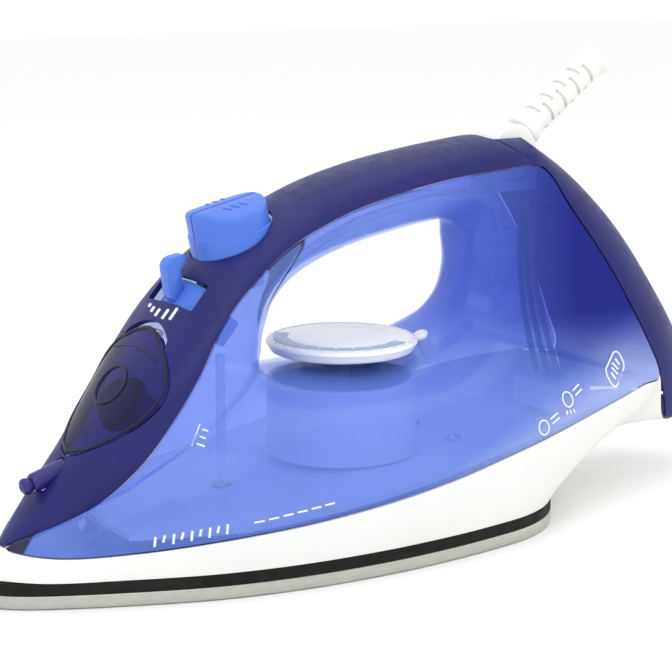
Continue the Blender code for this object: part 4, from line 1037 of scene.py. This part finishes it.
def make_lever():
    """The lever's curved cap with its web, and the fin on top."""
    outer, inner, half = LEVER_RADIUS, LEVER_RADIUS - 1.8, math.radians(36)
    angles = np.linspace(-half, half, 33)
    over = [(outer * math.sin(a), outer * math.cos(a)) for a in angles]
    under = [(inner * math.sin(a), inner * math.cos(a)) for a in angles[::-1]]
    web = [(1.6, inner - 0.3), (1.6, 2.6), (3.0, 0.0), (1.6, -2.6),
           (-1.6, -2.6), (-3.0, 0.0), (-1.6, 2.6), (-1.6, inner - 0.3)]
    outline = over + under[:15] + web + under[18:]
    centre, along, normal = np.array(LEVER_AXIS_AT), np.array(LEVER_ALONG), np.array(LEVER_NORMAL)
    loops = []
    for t, shrink in ((4.6, 0.25), (4.35, 0.0), (-4.35, 0.0), (-4.6, 0.25)):
        middle = centre + along * t
        loop = []
        for y, height in outline:
            drop = shrink if height > LEVER_WEB_TOP else 0
            loop.append(middle + (0, y * (1 - shrink / 60), 0) + normal * (height - drop))
        loops.append(loop)
    mesh = stack_mesh("lever_barrel", loops)
    piece("lever_barrel", mesh, LOOK["peri"], "steam_lever", ("steam_lever",))
    fin = rounded([(73.4, 86.6), (70.6, 88.0), (69.0, 99.2), (70.6, 101.4), (75.8, 102.4), (77.2, 101.0),
                   (74.6, 97.8), (75.4, 92.6)], 1.6, 6)
    centre = np.mean(fin, axis=0)
    loops = []
    for y, shrink in ((2.5, 0.5), (2.35, 0.18), (2.0, 0), (-2.0, 0), (-2.35, 0.18), (-2.5, 0.5)):
        row = [p + unit(centre - p) * shrink for p in fin]
        loops.append([(s, y, z) for s, z in row])
    piece("lever_fin", stack_mesh("lever_fin", loops), LOOK["peri"], "steam_lever", sharp=50)


def around_dial(radius, angle, z):
    return (DIAL_S + radius * math.cos(angle), radius * math.sin(angle), z)


def make_dial():
    """The dial's cap, its grey-blue band, the dots on the band and the rays round the rim."""
    up = (0, 0, 1)
    profile = [(0, 67.75), (12, 67.8), (18.2, 67.9), (18.6, 67.75), (18.7, 67.4), (23.9, 67.4),
               (24.0, 67.7), (24.2, 67.8)]
    profile += arc((25.1, 66.35), 1.0, 75, -60, 9)
    profile += [(25.4, 64.9), (24.6, 63.6), (23.4, 63.05), (22.4, 63.3), (21.9, 64.0), (0, 64.0)]
    turned("dial_cap", profile, (DIAL_S, 0, 0), up, "dial", "dial", ("dial",), 128, 30)
    band = [(18.9, 67.42), (18.9, 67.66), (19.1, 67.74), (23.3, 67.74), (23.5, 67.66), (23.5, 67.42)]
    loops = [[around_dial(r, a, z) for r, z in band] for a in np.radians(np.linspace(128, 302, 60))]
    piece("dial_band", stack_mesh("dial_band", loops), LOOK["ring"], "dial", ("dial_ring",))
    size, high = 0.36, 0.12
    dot = [(0, high), (size * 0.8, high), (size, high * 0.6), (size, -0.3), (0, -0.3)]
    dots = []
    for k in range(11):
        for m in range(1 + k // 4):
            spot = around_dial(21.3 - 1.2 * m, math.radians(134 + 16 * k), 67.74)
            dots.append(turned("dot", dot, spot, up, "ink", None, steps=20))
    joined("dial_dots", dots, "dial")
    rays = []
    for k in range(25):
        line = [around_dial(r, math.radians(100 + 12 * k), 67.66) for r in (24.35, 25.0)]
        rays.append(swept("ray", line, 0.14, LOOK["mark"], None, sides=6))
    joined("dial_rays", rays, "dial")


def make_tail():
    """The tilting barrel, the slotted bend relief that turns in it and the saddle under them."""
    across = (0, 1, 0)
    barrel = [(0, 7.4), (8.8, 7.4)] + arc((9.0, 6.4), 1.0, 85, 0, 6)
    barrel += arc((9.0, -6.4), 1.0, 0, -85, 6) + [(0, -7.4)]
    turned("swivel_barrel", barrel, BARREL_AT, across, "white", "cord_swivel", ("cord_swivel",), 72, 30)
    sleeve = [(3.0, 53.5), (5.2, 53.5), (5.7, 53.2), (6.05, 52.4), (6.0, 51.6), (5.4, 50.2), (5.15, 49.2)]
    sleeve += [(5.1 + 0.05 * math.cos(k), 48.0 - k * 2.2) for k in range(14)]
    sleeve += [(5.1, 15.6), (5.4, 14.6), (6.2, 13.6), (6.4, 12.2), (6.2, 10.9), (5.6, 10.4), (3.0, 10.4)]
    guard = turned("guard_sleeve", sleeve, BARREL_AT, GUARD_AXIS, "white", "cord_guard", ("cord_guard",), 64)
    for k in range(8):
        place = frame_at(np.array(BARREL_AT) + np.array(GUARD_AXIS) * (18.6 + 3.7 * k), GUARD_AXIS)
        for turn in (0, 1):
            sweep = np.linspace(-0.95, 0.95, 9) + (k % 2) * math.pi / 2 + turn * math.pi
            slot = [(7.5, a) for a in sweep] + [(4.0, a) for a in sweep[::-1]]
            loops = []
            for z in (-0.75, 0.75):
                ring = [place @ (Vector((r * math.cos(a), r * math.sin(a), z)) * MM) for r, a in slot]
                loops.append([(p.x / MM + LENGTH / 2, p.y / MM, p.z / MM) for p in ring])
            boolean(guard, guide_from(stack_mesh("guide", loops)))
    settle(guard, sharp=40)
    plan = rounded([(198.2, 7.6), (198.2, -7.6), (219.6, -7.6), (219.6, 7.6)], 3.4, 8)
    loops = [[(s, y, BARREL_AT[2] - below) for s, y in plan] for below in (13.5, 3.0)]
    mesh = stack_mesh("saddle_block", loops)
    saddle = piece("saddle_block", mesh, LOOK["white"], "iron_body", ("cord_saddle",))
    boolean(saddle, bore(BARREL_AT, across, 10.4, -12, 12, 64))
    settle(saddle)


def make_nozzle():
    """The spray nozzle's collar and the jet inside it."""
    collar = [(2.1, 5.2), (2.7, 5.2), (3.05, 4.6), (3.1, 3.8), (3.1, -7.0), (2.1, -7.0)]
    jet = [(0.5, 8.6), (0.9, 8.9)] + arc((1.0, 7.1), 1.8, 88, 0, 7)
    jet += [(2.4, 5.9), (1.8, 5.6), (1.8, -6.0), (0.5, -6.0)]
    for name, profile, node, steps in (("nozzle_collar", collar, "spray_nozzle_body", 48),
                                       ("nozzle_jet", jet, "nozzle_tip", 40)):
        turned(name, profile, NOZZLE_AT, NOZZLE_AXIS, "violet", "iron_body", (node,), steps)


# ---------------------------------------------------------------- printed marks


class Skin:
    """Finds points on the near or far side of a shell."""

    def __init__(self, item):
        form = bmesh.new()
        form.from_mesh(item.data)
        self.tree = BVHTree.FromBMesh(form)
        form.free()

    def cast(self, start, way, lift):
        spot, normal, _, _ = self.tree.ray_cast(at(*start), Vector(way))
        if spot is None:
            return None
        spot = spot + Vector(normal) * lift * MM
        return (spot.x / MM + LENGTH / 2, spot.y / MM, spot.z / MM)

    def side(self, s, z, lift=0.05, side=-1):
        return self.cast((s, side * 90, z), (0, -side, 0), lift)

    def above(self, s, y, lift=0.05):
        return self.cast((s, y, 200), (0, 0, -1), lift)

    def door(self, t, y, lift=0.0):
        """The point of the spine over (t, y) of the fill door's plane."""
        normal = np.array(DOOR_NORMAL)
        start = np.array(DOOR_ON) + np.array(DOOR_ALONG) * t + (0, y, 0) + normal * 18
        return self.cast(start, -normal, lift)


def stroke(skin, line, radius, side=-1, cyclic=False, look="ink"):
    """A printed line on the side of a shell, through points of (s, z)."""
    spots = [skin.side(s, z, 0.02, side) for s, z in line]
    spots = [p for p in spots if p is not None]
    return swept("stroke", spots, radius, LOOK[look], None, cyclic, 6)


def turned_points(points, centre, angle, size=1.0):
    c, n = math.cos(math.radians(angle)), math.sin(math.radians(angle))
    return [(centre[0] + size * (x * c - z * n), centre[1] + size * (x * n + z * c)) for x, z in points]


def circle(radius, count=24):
    angles = np.linspace(0, 2 * math.pi, count, endpoint=False)
    return [(radius * math.cos(a), radius * math.sin(a)) for a in angles]


def make_door_details(shells):
    """Dark edge, hinge line and hand ring of the fill door."""
    skin = Skin(shells["fill_door"])

    def line(spots, radius, cyclic, sides):
        found = [skin.door(t, y) for t, y in spots]
        found = [p for p in found if p is not None]
        return swept("line", found, radius, LOOK["edge"], None, cyclic, sides)

    ring = [(3.0 + t, y) for t, y in circle(6.9, 48)]
    hinge = [(17.5 - 0.012 * y * y, y) for y in np.linspace(-13, 13, 27)]
    pieces = [line(door_outline(-0.9, 0), 0.5, True, 8), line(ring, 0.6, True, 10)]
    pieces.append(line(hinge, 0.3, False, 8))
    joined("door_edging", pieces, "fill_door")


def make_prints(shells):
    """Plain bars, circles and dashes where the photo has lettering and pictograms."""
    tank = Skin(shells["water_tank"])
    prints = []
    badge = rounded([(-7.6, -2.9), (7.6, -2.9), (7.6, 2.9), (-7.6, 2.9)], 3.2, 9)
    prints.append(stroke(tank, turned_points(badge, (233.0, 50.5), 20), 0.32, cyclic=True))
    for x in (-4.2, -1.4, 1.4, 4.2):
        bar = turned_points([(x, -1.1), (x, 1.1)], (233.0, 50.5), 20)
        prints.append(stroke(tank, bar, 0.42))
    for centre in ((187.0, 39.0), (201.0, 46.0)):
        prints.append(stroke(tank, turned_points(circle(2.4), centre, 0), 0.26, cyclic=True))
        for x in (-1.6, 0.0, 1.6):
            drop = turned_points([(x, -3.4), (x * 1.3, -4.7)], centre, 0)
            prints.append(stroke(tank, drop, 0.28))
        for x, z in ((4.2, 0.8), (4.2, -0.9)):
            prints.append(stroke(tank, turned_points([(x, z), (x + 4.2, z)], centre, 20), 0.3))
    level = (66.5, 49.0)
    prints.append(stroke(tank, turned_points([(-3.6, 2.2), (3.6, 2.2)], level, 65), 0.24))
    for x in (-2.4, 0.0, 2.4):
        prints.append(stroke(tank, turned_points([(x, -1.4), (x, 0.9)], level, 65), 0.3))
    for k in range(9):
        s = 46 + 2.6 * k
        shape = turned_points(((-0.5, -1.5 + 0.9 * (k % 2)), (0.5, 1.4)), (s, 20.3 + 0.12 * (s - 46)), 6)
        prints.append(stroke(tank, shape, 0.4))
    for k in range(6):
        s = 75 + 4.6 * k
        shape = [(s, 24.0 + 0.13 * (s - 75)), (s + 3.2, 24.3 + 0.13 * (s - 75))]
        prints.append(stroke(tank, shape, 0.3))
    joined("tank_prints", prints, "iron_body")
    cover = Skin(shells["handle_cover"])
    bars = []
    for k, (y, reach) in enumerate(((8.5, 0.7), (5.0, 1.1), (1.0, 1.5), (-3.6, 2.0), (-7.4, 2.4))):
        line = []
        for t in np.linspace(-reach, reach, 5):
            spot = cover.above(67.6 + 0.62 * t + 0.02 * y * y, y)
            if spot:
                line.append(spot)
        bars.append(swept("bar", line, 0.55, LOOK["ink"], None, sides=6))
    joined("lever_bars", bars, "iron_body")


def finish_cad_nodes():
    """Gives the CAD nodes that stay on show their procedural finish."""
    by_slot = {
        "coated_sheet": "sole", "cast_alloy": "alloy", "steel": "steel", "black_plastic": "black",
        "white_plastic": "white", "navy_plastic": "navy", "blue_tank": "tank", "periwinkle_plastic": "peri",
        "smoke_clear": "smoke", "rubber": "rubber", "grey_blue_plastic": "ring", "violet_plastic": "violet",
        "clear_plastic": "clear", "brass": "brass", "ceramic": "ceramic", "lead_wire": "copper",
    }
    special = {"indicator_lens": "lens", "fill_plug": "peri", "filler_neck": "peri",
               "steam_valve_rod": "clear"}
    slots = {part["node"]: part["material_slot"] for part in frame["record"]["subparts"]}
    for name, node in frame["nodes"].items():
        look = special.get(name, by_slot[slots[name]])
        node.data.materials.clear()
        node.data.materials.append(LOOK[look])


# ---------------------------------------------------------------- studio


def aim(item, spot):
    item.rotation_mode = "QUATERNION"
    item.rotation_quaternion = (Vector(spot) - item.location).to_track_quat("-Z", "Y")


def area_light(name, place, spot, size, power, colour=(1, 1, 1)):
    lamp = bpy.data.lights.new(name, "AREA")
    lamp.shape = "RECTANGLE"
    lamp.size, lamp.size_y = size
    lamp.energy = power
    lamp.color = colour
    item = bpy.data.objects.new(name, lamp)
    bpy.context.scene.collection.objects.link(item)
    item.location = place
    aim(item, spot)


def make_studio():
    world = bpy.data.worlds.new("studio")
    bpy.context.scene.world = world
    world.use_nodes = True
    world.node_tree.nodes["Background"].inputs["Color"].default_value = (1.0, 1.0, 1.0, 1)
    world.node_tree.nodes["Background"].inputs["Strength"].default_value = 1.04
    area_light("key", (-0.45, -0.55, 0.75), (0, 0, 0.05), (0.7, 0.5), 2.2)
    area_light("top", (0.05, 0.05, 0.9), (0, 0, 0.05), (0.8, 0.8), 1.6)
    area_light("fill", (0.75, -0.35, 0.35), (0, 0, 0.06), (0.5, 0.6), 0.6)
    mesh = bpy.data.meshes.new("floor")
    mesh.from_pydata([(-3, -3, 0), (3, -3, 0), (3, 3, 0), (-3, 3, 0)], [], [(0, 1, 2, 3)])
    floor = bpy.data.objects.new("floor", mesh)
    bpy.context.scene.collection.objects.link(floor)
    floor.location.z = -0.0002
    look = Look("studio_floor", (0.93, 0.93, 0.93), 0.7)
    look.roughness(look.ramp(look.noise(6, 2), 0.3, 0.7, 0.6, 0.8))
    mesh.materials.append(look.material)


CAMERA_TARGET = (0.13617 - LENGTH / 2 * MM, 0.0680)


def make_camera():
    bpy.context.scene.view_settings.view_transform = "Standard"
    azimuth, elevation, distance = math.radians(-34.5), math.radians(12.0), 0.645
    back = Vector((math.sin(azimuth) * math.cos(elevation), -math.cos(azimuth) * math.cos(elevation),
                   math.sin(elevation)))
    target = Vector((CAMERA_TARGET[0], 0, CAMERA_TARGET[1]))
    data = bpy.data.cameras.new("camera")
    data.sensor_width = 36
    data.lens = 101.14
    item = bpy.data.objects.new("camera", data)
    bpy.context.scene.collection.objects.link(item)
    item.location = target + back * distance
    right = Vector((math.cos(azimuth), math.sin(azimuth), 0))
    item.rotation_mode = "QUATERNION"
    item.rotation_quaternion = Matrix((right, back.cross(right), back)).transposed().to_quaternion()
    bpy.context.scene.camera = item


finish_cad_nodes()
SHELLS = make_shells()
make_deck()
make_sole()
make_buttons()
make_lever()
make_dial()
make_tail()
make_nozzle()
make_door_details(SHELLS)
make_prints(SHELLS)
make_studio()
make_camera()
